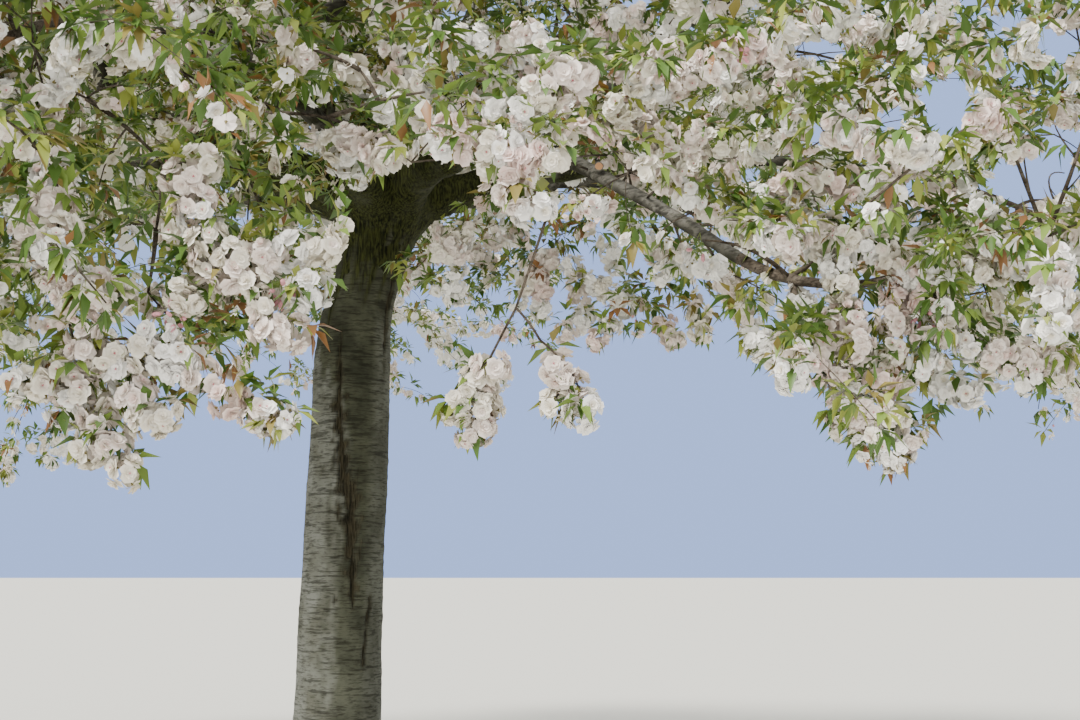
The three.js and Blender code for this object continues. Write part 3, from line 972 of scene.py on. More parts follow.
class Tube:
    """A closed tube's net: for each point its angle, its ring and its share of the radius."""

    ASIDE = (0.3, 0.5, 0.8)

    def __init__(self, sides: int, rings: int) -> None:
        """Args:
            sides: points round the tube.
            rings: stretches along it.
        """
        bm = bmesh.new()
        bmesh.ops.create_cone(bm, cap_ends=True, cap_tris=True, segments=sides, radius1=1, radius2=1, depth=1)
        along = [edge for edge in bm.edges if abs(edge.verts[0].co.z - edge.verts[1].co.z) > 0.5]
        bmesh.ops.subdivide_edges(bm, edges=along, cuts=rings - 1, use_grid_fill=True)
        shape = Shape.of(bm)
        self.faces = shape.faces
        self.angles = np.arctan2(shape.points[:, 1], shape.points[:, 0])
        self.radial = np.minimum(np.hypot(shape.points[:, 0], shape.points[:, 1]).round(3), 1.0)
        self.rings = np.round((shape.points[:, 2] + 0.5) * rings).astype(int)
        self.shares = np.linspace(0, 1, rings + 1)

    def along_twigs(self, twigs: list[Twig], tip: float) -> Array:
        """Args:
            twigs: the twigs to wrap.
            tip: the radius of their tips.

        Returns: the tube's points, twigs by points by 3.
        """
        control = np.array([twig.control for twig in twigs]).transpose(1, 0, 2)[:, :, None]
        headings = quadratic_heading(control, self.shares)
        across = np.cross(control[1] - control[0], control[2] - control[1])
        straight = norm(across, axis=-1, keepdims=True) < 1e-7
        across = unit(np.where(straight, np.cross(headings[:, :1], self.ASIDE), across))
        across = np.broadcast_to(across, headings.shape)
        roots = np.array([twig.root for twig in twigs])[:, None]
        radii = roots + (np.minimum(tip, roots) - roots) * self.shares
        return self.wrap(quadratic(control, self.shares), across, np.cross(headings, across), radii)

    def wrap(self, centres: Array, across: Array, over: Array, radii: Array) -> Array:
        """Args:
            centres: the rings' centres, of one tube or more.
            across: the rings' first directions.
            over: their second ones.
            radii: their radii.

        Returns: the points of the tube or tubes.
        """
        c, s = np.cos(self.angles)[:, None], np.sin(self.angles)[:, None]
        rings = self.rings
        way = c * across[..., rings, :] + s * over[..., rings, :]
        return centres[..., rings, :] + way * radii[..., rings, None] * self.radial[:, None]


def linear(colour: str) -> tuple[float, float, float, float]:
    """Returns: an sRGB colour such as "#8f867b" in linear light, with an alpha of 1."""
    values = [int(colour[i : i + 2], 16) / 255 for i in (1, 3, 5)]
    return (*(v / 12.92 if v <= 0.04045 else ((v + 0.055) / 1.055) ** 2.4 for v in values), 1.0)


def add_node(
    tree: bpy.types.NodeTree, kind: str, settings: dict | None = None, inputs: dict | None = None
) -> bpy.types.Node:
    """Args:
        tree: the material's nodes.
        kind: the node's type, without ShaderNode.
        settings: its properties.
        inputs: its sockets, each with a value or the socket it is linked from.

    Returns: the node.
    """
    made = tree.nodes.new("ShaderNode" + kind)
    for name, value in (settings or {}).items():
        setattr(made, name, value)
    for name, value in (inputs or {}).items():
        if isinstance(value, bpy.types.NodeSocket):
            tree.links.new(value, made.inputs[name])
        else:
            made.inputs[name].default_value = value
    return made


def blank(name: str) -> tuple[Material, bpy.types.NodeTree]:
    """Returns: a new material and its empty nodes."""
    material = bpy.data.materials.new(name)
    material.use_nodes = True
    material.node_tree.nodes.clear()
    return material, material.node_tree


# A colour mix has its share at socket 0, its two colours at 6 and 7, and its result at output 2.
MIX_SHARE, MIX_UNDER, MIX_OVER, MIX_RESULT = 0, 6, 7, 2


@dataclass(frozen=True)
class PlainFinish:
    """One plain colour, on plant tissue or on the studio's floor. The IOR is that of cells full of water."""

    name: str
    colour: str
    roughness: float
    ior: float = 1.4

    def material(self) -> Material:
        """Returns: the material."""
        made, tree = blank(self.name)
        inputs = {"Base Color": linear(self.colour), "Roughness": self.roughness, "IOR": self.ior}
        shader = add_node(tree, "BsdfPrincipled", {}, inputs)
        add_node(tree, "OutputMaterial", {}, {"Surface": shader.outputs["BSDF"]})
        return made


# Petals are matt, as their small domed cells scatter the light. A spray is white, cream or flushed with pink.
# The cream, blush and pink tints are partly the petals' own colour and partly painted shade, kept dimmer for
# blossom in shade.
# Calyxes, stalks and closed buds have a smoother skin.
PETALS = [
    PlainFinish("petal_white", "#fefcf9", 0.6),
    PlainFinish("petal_cream", "#f1ebdf", 0.6),
    PlainFinish("petal_blush", "#f0e5de", 0.6),
    PlainFinish("petal_pink", "#eddad4", 0.6),
    PlainFinish("petal_eye_rose", "#bd6f7c", 0.6),
    PlainFinish("calyx_bronze_green", "#7d7346", 0.5),
    PlainFinish("stalk_green", "#7c8a4a", 0.5),
    PlainFinish("bud_rose", "#d99aa6", 0.5),
]
WHITE, CREAM_AND_SHADE, BLUSH_AND_SHADE, PINK_AND_SHADE, EYE, CALYX, STALK, BUD = range(len(PETALS))

# Young leaves are slightly waxy, so they have a soft shine. They open bronze and turn to a fresh green.
LEAVES = [
    PlainFinish("leaf_fresh_green", "#70873a", 0.42),
    PlainFinish("leaf_mid_green", "#4f6c2d", 0.42),
    PlainFinish("leaf_yellow_green", "#8d9643", 0.42),
    PlainFinish("leaf_bronze", "#80743a", 0.42),
    PlainFinish("leaf_red_bronze", "#86603a", 0.42),
]


@dataclass(frozen=True)
class Bark:
    """Cherry bark: a smooth grey skin with short level lenticels in rows, darker where painted shade is laid
    on, nearly black where moss grows, and rough brown where it has split. Lengths are the marks' real sizes,
    widths before heights. A colour starts where its grain passes the first of two edges."""

    name: str
    skin: tuple[str, str]
    mark: str
    line: str
    stain: tuple[str, str]
    moss: tuple[str, str]
    crack: tuple[str, str] = ("#13120c", "#403b2c")
    dash: Pair = (0.03, 0.0065)
    row: Pair = (0.11, 0.0105)
    patch: Pair = (0.12, 0.16)
    fibre: Pair = (0.007, 0.07)
    dash_edges: Pair = (0.5, 0.66)
    row_edges: Pair = (0.53, 0.62)
    patch_edges: Pair = (0.38, 0.62)
    mark_share: float = 0.6
    grain_detail: float = 3.0
    grain_roughness: float = 0.6
    relief: float = 0.0025
    relief_share: float = 0.6
    roughness: float = 0.88
    shine: float = 0.15

    def material(self) -> Material:
        """Returns: the material, which reads three attributes: the shares of painted shade, of moss and of
        the crack.
        """
        made, tree = blank(self.name)
        place = add_node(tree, "TexCoord").outputs["Object"]
        grains = []
        for width, height in (self.dash, self.row, self.patch, self.fibre):
            inputs = {"Vector": place, "Scale": (1 / width, 1 / width, 1 / height)}
            mapped = add_node(tree, "Mapping", {}, inputs).outputs["Vector"]
            inputs = {"Scale": 1.0, "Detail": self.grain_detail, "Roughness": self.grain_roughness}
            inputs["Vector"] = mapped
            grains.append(add_node(tree, "TexNoise", {}, inputs).outputs["Fac"])
        dashes, rows, patches, fibres = grains
        colours = []
        pairs = ((patches, self.skin), (patches, self.stain), (fibres, self.moss), (fibres, self.crack))
        for grain, pair in pairs:
            blend = add_node(tree, "ValToRGB", {}, {"Fac": grain})
            for element, edge, colour in zip(blend.color_ramp.elements, self.patch_edges, pair):
                element.position = edge
                element.color = linear(colour)
            colours.append(blend.outputs["Color"])
        skin, stain, moss, crack = colours
        painted_shade_share, mossy, cracked = (
            add_node(tree, "Attribute", {"attribute_name": name}).outputs["Fac"]
            for name in ("stain", "moss", "crack")
        )
        marks = []
        for grain, (low, high) in ((dashes, self.dash_edges), (rows, self.row_edges)):
            inputs = {"Value": grain, "From Min": low, "From Max": high, "To Max": self.mark_share}
            marks.append(add_node(tree, "MapRange", {}, inputs).outputs[0])
        # The skin is first darkened by painted shade, as far as its attribute asks.
        colour = skin
        for share, over in (
            (painted_shade_share, stain),
            (marks[0], linear(self.mark)),
            (marks[1], linear(self.line)),
            (mossy, moss),
            (cracked, crack),
        ):
            inputs = {MIX_SHARE: share, MIX_UNDER: colour, MIX_OVER: over}
            colour = add_node(tree, "Mix", {"data_type": "RGBA"}, inputs).outputs[MIX_RESULT]
        height = add_node(tree, "Math", {"operation": "ADD"}, {0: dashes, 1: rows}).outputs[0]
        inputs = {"Height": height, "Strength": self.relief_share, "Distance": self.relief}
        bump = add_node(tree, "Bump", {}, inputs).outputs["Normal"]
        inputs = {"Base Color": colour, "Roughness": self.roughness, "Specular IOR Level": self.shine}
        inputs["Normal"] = bump
        shader = add_node(tree, "BsdfPrincipled", {}, inputs)
        add_node(tree, "OutputMaterial", {}, {"Surface": shader.outputs["BSDF"]})
        return made


# The trunk's bark is old: weathered grey that hardly shines, streaked level by long rows of corky lenticels.
TRUNK_BARK = Bark(
    "cherry_bark_trunk",
    skin=("#5b5c53", "#747670"),
    mark="#1f1e17",
    line="#17160f",
    # The darker pair is painted shade, for the trunk's side turned from the light, its top and the fork.
    stain=("#33352a", "#4b4d3f"),
    moss=("#0b0d05", "#3a3e1b"),
)
# The boughs' bark is younger: a paler, browner grey, with shorter lenticels close together.
BOUGH_BARK = Bark(
    "cherry_bark_bough",
    skin=("#585650", "#85827b"),
    mark="#2b2924",
    line="#211f1a",
    # The darker pair is painted shade, for the boughs' undersides.
    stain=("#2a2921", "#3d3b32"),
    moss=("#0b0d05", "#363a1a"),
    dash=(0.02, 0.01),
    row=(0.05, 0.012),
    patch=(0.08, 0.08),
)
# The twigs' bark is thin and brown. Real lenticels on it are a millimetre or two, drawn coarser here to show.
TWIG_BARK = Bark(
    "cherry_bark_twig",
    skin=("#453d34", "#6a6157"),
    mark="#262019",
    line="#1e1913",
    # The darker pair is painted shade, though no twig is given the attribute that lays it on.
    stain=("#2c2a20", "#3d3a2d"),
    moss=("#0c0c07", "#232416"),
    dash=(0.009, 0.006),
    row=(0.02, 0.008),
    patch=(0.05, 0.05),
)


# Lumpy noise as noise.fractal takes it: how fast it falls off, how much finer each octave is, and how many.
LUMPY = (0.9, 2.0, 3)


def paint(made: Object, masks: dict[str, Array]) -> None:
    """Args:
        made: a piece.
        masks: values for its points, by attribute name.
    """
    for name, values in masks.items():
        layer = made.data.attributes.new(name, "FLOAT", "POINT")
        layer.data.foreach_set("value", np.asarray(values, np.float32))


@dataclass(frozen=True)
class SkinPoints:
    """The points of the trunk's skin, by angle and height, and the noises there."""

    angles: Array
    heights: Array
    lumps: Array
    ridges: Array
    frays: Array
    streaks: Array


@dataclass(frozen=True)
class Crack:
    """A split in the trunk's bark: its heights, and at each its turn in degrees from the front to the right
    and half its width. It is sunk to its depth between two lips, and it wanders and frays."""

    heights: Row
    turns: Row
    halves: Row
    depth: float
    lip: float
    wander: float = 6.0
    fray: float = 1.1
    thinnest: float = 0.002
    deep_from: float = 0.006
    lip_at: float = 1.4
    lip_width: float = 0.4
    lip_height: Pair = (0.7, 1.6)
    darkness: Pair = (1.2, 0.5)

    def marks(self, at: SkinPoints, radius: Array) -> tuple[Array, Array]:
        """Args:
            at: the skin's points.
            radius: their distance from the trunk's middle.

        Returns: how far the split raises each point, and how much of a split's colour that takes.
        """
        turn = np.radians(np.interp(at.heights, self.heights, self.turns) - 90 + self.wander * at.lumps)
        half = np.interp(at.heights, self.heights, self.halves) * (1 + self.fray * at.frays)
        aside = (at.angles - turn + pi) % (2 * pi) - pi
        apart = np.abs(aside) * radius / np.maximum(half, self.thinnest)
        strength = np.clip(half / self.deep_from, 0, 1)
        groove = np.exp(-(apart**4)) * strength
        lips = np.exp(-(((apart - self.lip_at) / self.lip_width) ** 2)) * strength
        lips = lips * (self.lip_height[0] + self.lip_height[1] * at.frays)
        colour = self.darkness[0] * groove + self.darkness[1] * np.maximum(lips, 0)
        return self.lip * lips - self.depth * groove, np.clip(colour, 0, 1)


@dataclass(frozen=True)
class TrunkSkin:
    """The trunk's bark: rings of height, radius and lean, root lobes, level ridges and long splits. The edge
    of the painted shade, which darkens the side turned from the light and the top under the crown, is in
    degrees from the front to the right. A noise's scales are round the trunk and up it."""

    rings: tuple[Triple, ...] = (
        (0.0, 0.236, 0.0), (0.05, 0.212, 0.001), (0.13, 0.184, 0.003), (0.27, 0.166, 0.006),
        (0.64, 0.156, 0.012), (1.2, 0.151, 0.028), (1.73, 0.147, 0.044), (1.92, 0.136, 0.056),
        (2.06, 0.128, 0.098), (2.2, 0.14, 0.132), (2.31, 0.163, 0.158), (2.4, 0.156, 0.172),
        (2.455, 0.104, 0.18),
    )
    lobes: int = 5
    lobe_depth: float = 0.13
    lobe_height: float = 0.3
    lobe_turn: float = 0.6
    sides: int = 112
    stretches: int = 300
    smoothing: float = 0.045
    smoothing_from: float = 0.2
    lump: float = 0.006
    lump_scales: Pair = (1.3, 3.2)
    ridge: float = 0.0032
    ridge_floor: float = -0.1
    ridge_scales: Pair = (1.5, 1 / 0.024)
    fray_scales: Pair = (7.0, 26.0)
    streak_scales: Pair = (5.0, 0.8)
    end_fade: float = 0.03
    cracks: tuple[Crack, ...] = (
        Crack(
            (0.78, 0.88, 1.0, 1.11, 1.17, 1.24, 1.32, 1.4, 1.48, 1.56, 1.66, 1.76, 1.9),
            (19, 18, 15, 17, 19, 14, 5, 0, -6, -10, -12, -15, -17),
            (0.0, 0.009, 0.015, 0.023, 0.025, 0.032, 0.021, 0.018, 0.011, 0.015, 0.007, 0.005, 0.0),
            0.014,
            0.007,
        ),
        Crack((0.57, 0.62, 0.74, 0.84, 0.9), (44, 44, 45, 49, 51), (0, 0.006, 0.005, 0.007, 0), 0.01, 0.005),
        Crack((0.81, 0.84, 0.87), (-5, -5, -5), (0, 0.01, 0), 0.008, 0.003),
        Crack((1.66, 1.76, 1.9, 2.1, 2.3), (66, 64, 62, 58, 56), (0, 0.006, 0.01, 0.013, 0.01), 0.012, 0.003),
    )
    moss_from: float = 2.0
    moss_edge: float = 0.12
    moss_cover: float = 1.1
    moss_streak: float = 0.35
    painted_shade_heights: Row = (0.8, 1.36, 1.5, 1.66, 1.8, 1.95)
    painted_shade_edge: Row = (-20.0, -18.0, -19.0, -38.0, -92.0, -200.0)
    painted_shade_wander: Triple = (18.0, 14.0, 10.0)
    painted_shade_blend: float = 28.0
    painted_shade_round: Row = (34.0, 52.0, 170.0)
    painted_shade_strength: Row = (1.0, 0.6, 0.35)
    painted_shade_all_round: Pair = (1.7, 1.95)
    painted_shade_rise: Row = (0.0, 0.6, 1.2)
    painted_shade_low: Row = (0.6, 0.9, 1.0)

    def ring_at(self, heights: Array) -> tuple[Array, Array]:
        """Returns: the radius and the lean at each height, rounded between the rings."""
        levels, radii, leans = (np.array(column) for column in zip(*self.rings))
        share = np.minimum(heights / self.smoothing_from, 1)[:, None]
        window = np.linspace(-self.smoothing, self.smoothing, 9) * share
        near = np.clip(heights[:, None] + window, 0, levels[-1])
        return np.interp(near, levels, radii).mean(axis=1), np.interp(near, levels, leans).mean(axis=1)

    def points(self, net: Tube) -> SkinPoints:
        """Returns: the skin's points on a net, with the noises there."""
        heights = net.shares[net.rings] * self.rings[-1][0]
        places = list(zip(np.cos(net.angles), np.sin(net.angles), heights))
        scales = (self.lump_scales, self.ridge_scales, self.fray_scales, self.streak_scales)
        noises = [
            np.array([noise.noise(Vector((x * level, y * level, z * high))) for x, y, z in places])
            for level, high in scales
        ]
        return SkinPoints(net.angles, heights, *noises)

    def moss(self, at: SkinPoints) -> Array:
        """Returns: how much of the moss's colour each point takes."""
        above = at.heights - self.moss_from + self.moss_streak * at.streaks
        return np.clip(above / self.moss_edge, 0, 1) * np.clip(self.moss_cover + at.frays, 0, 1)

    def stain(self, at: SkinPoints) -> Array:
        """Returns: how much painted shade each point takes, most on the side turned from the light and at the
        top.
        """
        by_streak, by_fray, by_lump = self.painted_shade_wander
        turned = (np.degrees(at.angles) + 270) % 360 - 180
        past_edge = turned - np.interp(at.heights, self.painted_shade_heights, self.painted_shade_edge)
        past_edge += by_streak * at.streaks + by_fray * at.frays + by_lump * at.lumps
        strength = np.interp(turned, self.painted_shade_round, self.painted_shade_strength)
        strength = np.maximum(strength, np.interp(at.heights, self.painted_shade_all_round, (0, 1)))
        strength = np.clip(past_edge / self.painted_shade_blend, 0, 1) * strength
        return strength * np.interp(at.heights, self.painted_shade_rise, self.painted_shade_low)

    def build(self, bark: Material) -> Object:
        """Args:
            bark: its material.

        Returns: the trunk's skin, with the attributes crack, moss and painted shade.
        """
        net = Tube(self.sides, self.stretches)
        at = self.points(net)
        radius, lean = self.ring_at(at.heights)
        fade = np.maximum(0, 1 - at.heights / self.lobe_height) ** 2
        radius = radius * (1 + self.lobe_depth * fade * np.cos(self.lobes * at.angles - self.lobe_turn))
        edge = np.clip(np.minimum(at.heights, self.rings[-1][0] - at.heights) / self.end_fade, 0, 1)
        relief = self.lump * at.lumps + self.ridge * np.maximum(at.ridges, self.ridge_floor)
        crack = np.zeros(len(at.heights))
        for split in self.cracks:
            raised, colour = split.marks(at, radius)
            relief += raised
            crack = np.maximum(crack, colour)
        radius = (radius + relief * edge) * net.radial
        x, y = lean + np.cos(at.angles) * radius, np.sin(at.angles) * radius
        batch = Batch()
        batch.add(np.stack([x, y, at.heights], axis=1)[None], net.faces)
        made = batch.piece("bark_trunk", [bark])
        paint(made, {"crack": crack, "moss": self.moss(at), "stain": self.stain(at)})
        return made


@dataclass(frozen=True)
class LimbSkin:
    """A limb's bark: a smooth centre line with slow swings, a collar where it leaves, a slimmer middle, and
    lumps. Moss is thick by the trunk's head and thins out along the limb, and painted shade darkens its
    underside."""

    sides: int = 20
    stretches: int = 30
    slim: float = 0.0
    collar: float = 0.3
    collar_run: float = 0.12
    lump: float = 0.16
    lump_run: float = 0.11
    swing: float = 0.009
    swing_scale: float = 3.1
    swing_seed: float = 0.37
    aside: Triple = (0.31, 0.22, 0.9)
    end_fade: float = 0.02
    moss: float = 1.5
    moss_run: float = 0.75
    moss_elsewhere: float = 0.1
    painted_shade_under: float = 0.2

    def centre_line(self, path: Array, shares: Array) -> Array:
        """Args:
            path: a limb's points.
            shares: places along it, from 0 to 1.

        Returns: the points there on a smooth line through them.
        """
        last = len(path) - 1
        padded = np.vstack([2 * path[0] - path[1], path, 2 * path[-1] - path[-2]])
        at = np.clip(shares * last, 0, last - 1e-9)
        i = at.astype(int)
        t = (at - i)[:, None]
        p0, p1, p2, p3 = (padded[i + k] for k in range(4))
        square = (2 * p0 - 5 * p1 + 4 * p2 - p3) * t**2
        cube = (3 * p1 - p0 - 3 * p2 + p3) * t**3
        return 0.5 * (2 * p1 + (p2 - p0) * t + square + cube)

    def rings(self, limb: Limb, shares: Array) -> tuple[Array, ...]:
        """Args:
            limb: the limb to cover.
            shares: places along it, from 0 to 1.

        Returns: the rings' centres, two directions and radii, and how far along the limb they are.
        """
        centres = self.centre_line(limb.path, shares)
        length = float(norm(np.diff(limb.path, axis=0), axis=1).sum())
        run = shares * length
        seed = sum(map(ord, limb.name)) * self.swing_seed
        places = [Vector((share * length * self.swing_scale, seed, 0.0)) for share in shares]
        swings = np.array([noise.noise_vector(place)[:] for place in places])
        centres = centres + swings * self.swing * np.sin(pi * shares)[:, None]
        headings = unit(np.gradient(centres, axis=0))
        across = np.zeros_like(headings)
        across[0] = unit(np.cross(headings[0], self.aside))
        for i in range(1, len(headings)):
            across[i] = unit(across[i - 1] - headings[i] * (across[i - 1] @ headings[i]))
        radii = np.interp(shares, np.linspace(0, 1, len(limb.radii)), limb.radii)
        radii = radii * (1 + self.collar * np.exp(-run / self.collar_run))
        radii = radii * (1 - self.slim * np.sin(pi * shares))
        return centres, across, np.cross(headings, across), radii, run

    def build(self, limb: Limb, bark: Material) -> Object:
        """Args:
            limb: the limb to cover.
            bark: its material.

        Returns: the limb's skin, with the attributes moss and painted shade.
        """
        net = Tube(self.sides, self.stretches)
        centres, across, over, radii, run = self.rings(limb, net.shares)
        points = net.wrap(centres, across, over, radii)
        spread = points - centres[net.rings]
        lumps = np.array([noise.fractal(Vector(point / self.lump_run), *LUMPY) for point in points])
        edge = np.clip(np.minimum(run, run[-1] - run) / self.end_fade, 0, 1)[net.rings]
        points = points + spread * (self.lump * lumps * edge)[:, None]
        batch = Batch()
        batch.add(points[None], net.faces)
        made = batch.piece(limb.name.replace("bough", "bark"), [bark])
        moss = np.full(len(points), self.moss_elsewhere)
        if limb.kind in FROM_HEAD:
            moss = np.clip(self.moss - run[net.rings] / self.moss_run + lumps, 0, 1)
        # Painted shade: the more a point faces down, the darker its bark, so the underside looks shaded.
        stain = np.clip(self.painted_shade_under - unit(spread)[:, 2] + lumps, 0, 1)
        paint(made, {"moss": moss, "stain": stain})
        return made


@dataclass(frozen=True)
class ForkSkin:
    """The fork: the trunk's head and its limbs' roots grown into one swollen, mossy mass, which stands proud
    of them and dives under their skins where it ends."""

    trunk: TrunkSkin
    limbs: list[Limb]
    below: float = 0.42
    run: float = 0.62
    swell: float = 0.55
    swell_run: float = 0.16
    proud: float = 0.05
    rise: Pair = (0.2, 0.4)
    dive: float = 3.0
    dive_from: float = 0.5
    trunk_net: tuple[int, int] = (32, 24)
    limb_sides: int = 20
    limb_rings: int = 97
    voxel: float = 0.011
    smoothing: int = 14
    lump: float = 0.012
    lump_run: float = 0.09
    moss: float = 1.1
    moss_lump: float = 0.5
    moss_up: float = 0.3
    moss_fade: float = 0.5
    moss_reach: float = 0.35

    def rough(self, bark: Material) -> Object:
        """Returns: tubes about the trunk's head and the limbs' roots, running through one another."""
        batch = Batch()
        net = Tube(*self.trunk_net)
        heights = self.trunk.rings[-1][0] - self.below * (1 - net.shares)
        radius, lean = self.trunk.ring_at(heights)
        start, length = self.rise
        radius = radius * (1 + self.proud * np.clip((net.shares - start) / length, -1, 1))
        centres = np.stack([lean, 0 * lean, heights], axis=1)
        level = np.tile([1.0, 0.0, 0.0], (len(heights), 1))
        batch.add(net.wrap(centres, level, np.roll(level, 1, axis=1), radius)[None], net.faces)
        for limb in self.limbs:
            centres, across, over, radii, run = LimbSkin().rings(limb, np.linspace(0, 1, self.limb_rings))
            kept = run <= self.run
            sunk = self.dive * self.proud * np.clip(run[kept] / self.run - self.dive_from, 0, self.dive_from)
            radii = radii[kept] * (1 + self.swell * np.exp(-run[kept] / self.swell_run))
            radii = radii * (1 + self.proud - sunk)
            net = Tube(self.limb_sides, int(kept.sum()) - 1)
            batch.add(net.wrap(centres[kept], across[kept], over[kept], radii)[None], net.faces)
        return batch.piece("fork_rough", [bark])

    def build(self, bark: Material) -> Object:
        """Args:
            bark: its material.

        Returns: the fork's skin, with the attributes moss and painted shade, the shade full all over.
        """
        rough = self.rough(bark)
        remesh = rough.modifiers.new("one_skin", "REMESH")
        remesh.mode = "VOXEL"
        remesh.voxel_size = self.voxel
        mesh = bpy.data.meshes.new_from_object(rough.evaluated_get(bpy.context.evaluated_depsgraph_get()))
        bpy.data.objects.remove(rough)
        bm = bmesh.new()
        bm.from_mesh(mesh)
        axes = {"use_axis_x": True, "use_axis_y": True, "use_axis_z": True}
        for _ in range(self.smoothing):
            bmesh.ops.smooth_vert(bm, verts=bm.verts[:], factor=0.5, **axes)
        bm.normal_update()
        moss = []
        for vert in bm.verts:
            lump = noise.fractal(vert.co / self.lump_run, *LUMPY)
            vert.co += vert.normal * self.lump * lump
            far = max(0.0, (vert.co - Vector(HEAD)).length - self.moss_reach)
            up = self.moss_up * vert.normal.z
            moss.append(self.moss + self.moss_lump * lump + up - self.moss_fade * far)
        bm.to_mesh(mesh)
        bm.free()
        mesh.polygons.foreach_set("use_smooth", np.full(len(mesh.polygons), True))
        made = placed("bark_fork", mesh)
        # The whole fork takes the painted shade's full colour beneath its moss.
        paint(made, {"moss": np.clip(moss, 0, 1), "stain": np.ones(len(moss))})
        return made


@dataclass(frozen=True)
class CutWood:
    """Cherry wood that was sawn across some years ago: orange brown, with darker year rings 3 mm apart."""

    name: str = "cherry_wood_cut"
    colours: tuple[str, str] = ("#8f5c38", "#c99a6c")
    ring: float = 0.003
    unevenness: float = 1.2
    roughness: float = 0.7

    def material(self, middle: Array, turn: Matrix) -> Material:
        """Args:
            middle: the middle of the cut.
            turn: the rotation that takes +Z to the way that the cut faces.

        Returns: the material, with its rings about the middle.
        """
        made, tree = blank(self.name)
        place = add_node(tree, "TexCoord").outputs["Object"]
        settings = {"vector_type": "TEXTURE"}
        inputs = {"Vector": place, "Location": middle, "Rotation": turn.to_euler()}
        mapped = add_node(tree, "Mapping", settings, inputs).outputs["Vector"]
        # A wave texture has ten rings in each half turn of its scale.
        settings = {"wave_type": "RINGS", "rings_direction": "Z"}
        inputs = {"Vector": mapped, "Scale": pi / (10 * self.ring), "Distortion": self.unevenness}
        rings = add_node(tree, "TexWave", settings, inputs).outputs["Fac"]
        dark, pale = (linear(colour) for colour in self.colours)
        inputs = {MIX_SHARE: rings, MIX_UNDER: dark, MIX_OVER: pale}
        colour = add_node(tree, "Mix", {"data_type": "RGBA"}, inputs).outputs[MIX_RESULT]
        inputs = {"Base Color": colour, "Roughness": self.roughness}
        shader = add_node(tree, "BsdfPrincipled", {}, inputs)
        add_node(tree, "OutputMaterial", {}, {"Surface": shader.outputs["BSDF"]})
        return made


@dataclass(frozen=True)
class PrunedStub:
    """The stub of a pruned branch: where it stands along its bough, its way out and its sizes. It is drawn in
    at its waist, and its bark stands a little proud of the cut."""

    along: float = 0.683
    way: Triple = (0.08, -0.97, 0.12)
    foot: float = 0.024
    end: float = 0.0145
    height: float = 0.062
    sunk: float = 0.3
    waist: float = 0.22
    lump: float = 0.1
    lump_run: float = 0.012
    bark_width: float = 0.003
    recess: float = 0.0015
    sides: int = 24
    places: int = 199

    def build(self, limb: Limb, bark: Material, wood: CutWood) -> Object:
        """Args:
            limb: the bough that it stands on.
            bark: the bough's material.
            wood: the finish of the cut.

        Returns: the stub, with a lip of bark round the cut.
        """
        centres, _, _, radii, _ = LIMB_SKINS[limb.kind].rings(limb, np.linspace(0, 1, self.places + 1))
        at = round(self.along * self.places)
        way = Vector(self.way).normalized()
        turn = way.to_track_quat("Z", "Y").to_matrix()
        start = Vector(centres[at]) + way * float(radii[at]) * self.sunk
        bm = bmesh.new()
        sizes = {"segments": self.sides, "radius1": self.foot, "radius2": self.end, "depth": self.height}
        bmesh.ops.create_cone(bm, cap_ends=True, **sizes)
        cut = max(bm.faces, key=lambda face: face.calc_center_median().z)
        half = self.height / 2
        upright = [edge for edge in bm.edges if abs(edge.verts[0].co.z - edge.verts[1].co.z) > half]
        bmesh.ops.subdivide_edges(bm, edges=upright, cuts=3, use_grid_fill=True)
        for vert in bm.verts:
            share = vert.co.z / self.height + 0.5
            lump = self.lump * noise.noise(vert.co / self.lump_run)
            swell = 1 - self.waist * sin(pi * share) + lump
            vert.co.x *= swell
            vert.co.y *= swell
        bmesh.ops.inset_region(bm, faces=[cut], thickness=self.bark_width, depth=0)
        bmesh.ops.translate(bm, verts=cut.verts[:], vec=(0, 0, -self.recess))
        cut.material_index = 1
        for face in bm.faces:
            face.smooth = face is not cut
        bmesh.ops.translate(bm, verts=bm.verts[:], vec=(0, 0, half))
        bmesh.ops.transform(bm, verts=bm.verts[:], matrix=Matrix.Translation(start) @ turn.to_4x4())
        middle = np.array(cut.calc_center_median())
        return placed("pruned_stub", mesh_of(bm, "pruned_stub", [bark, wood.material(middle, turn)]))


FROM_HEAD = (Kind.LOW, Kind.RISING, Kind.LEADER)
LIMB_SKINS = {
    Kind.LOW: LimbSkin(16, 96, slim=0.33),
    Kind.RISING: LimbSkin(14, 72),
    Kind.LEADER: LimbSkin(14, 72),
    Kind.SIDE: LimbSkin(12, 60),
    Kind.INNER: LimbSkin(10, 36),
}


# Blossom, leaves and twigs.


class BloomPart(Enum):
    """The parts of a bloom that take their own finish."""

    OUTER = 0
    INNER = 1
    EYE = 2
    CALYX = 3


def name_part(made: dict[str, list[bmesh.types.BMVert]], part: BloomPart) -> None:
    """Names the faces that a bmesh operator has made as a part of the bloom."""
    for face in {face for vert in made["verts"] for face in vert.link_faces}:
        face.material_index = part.value


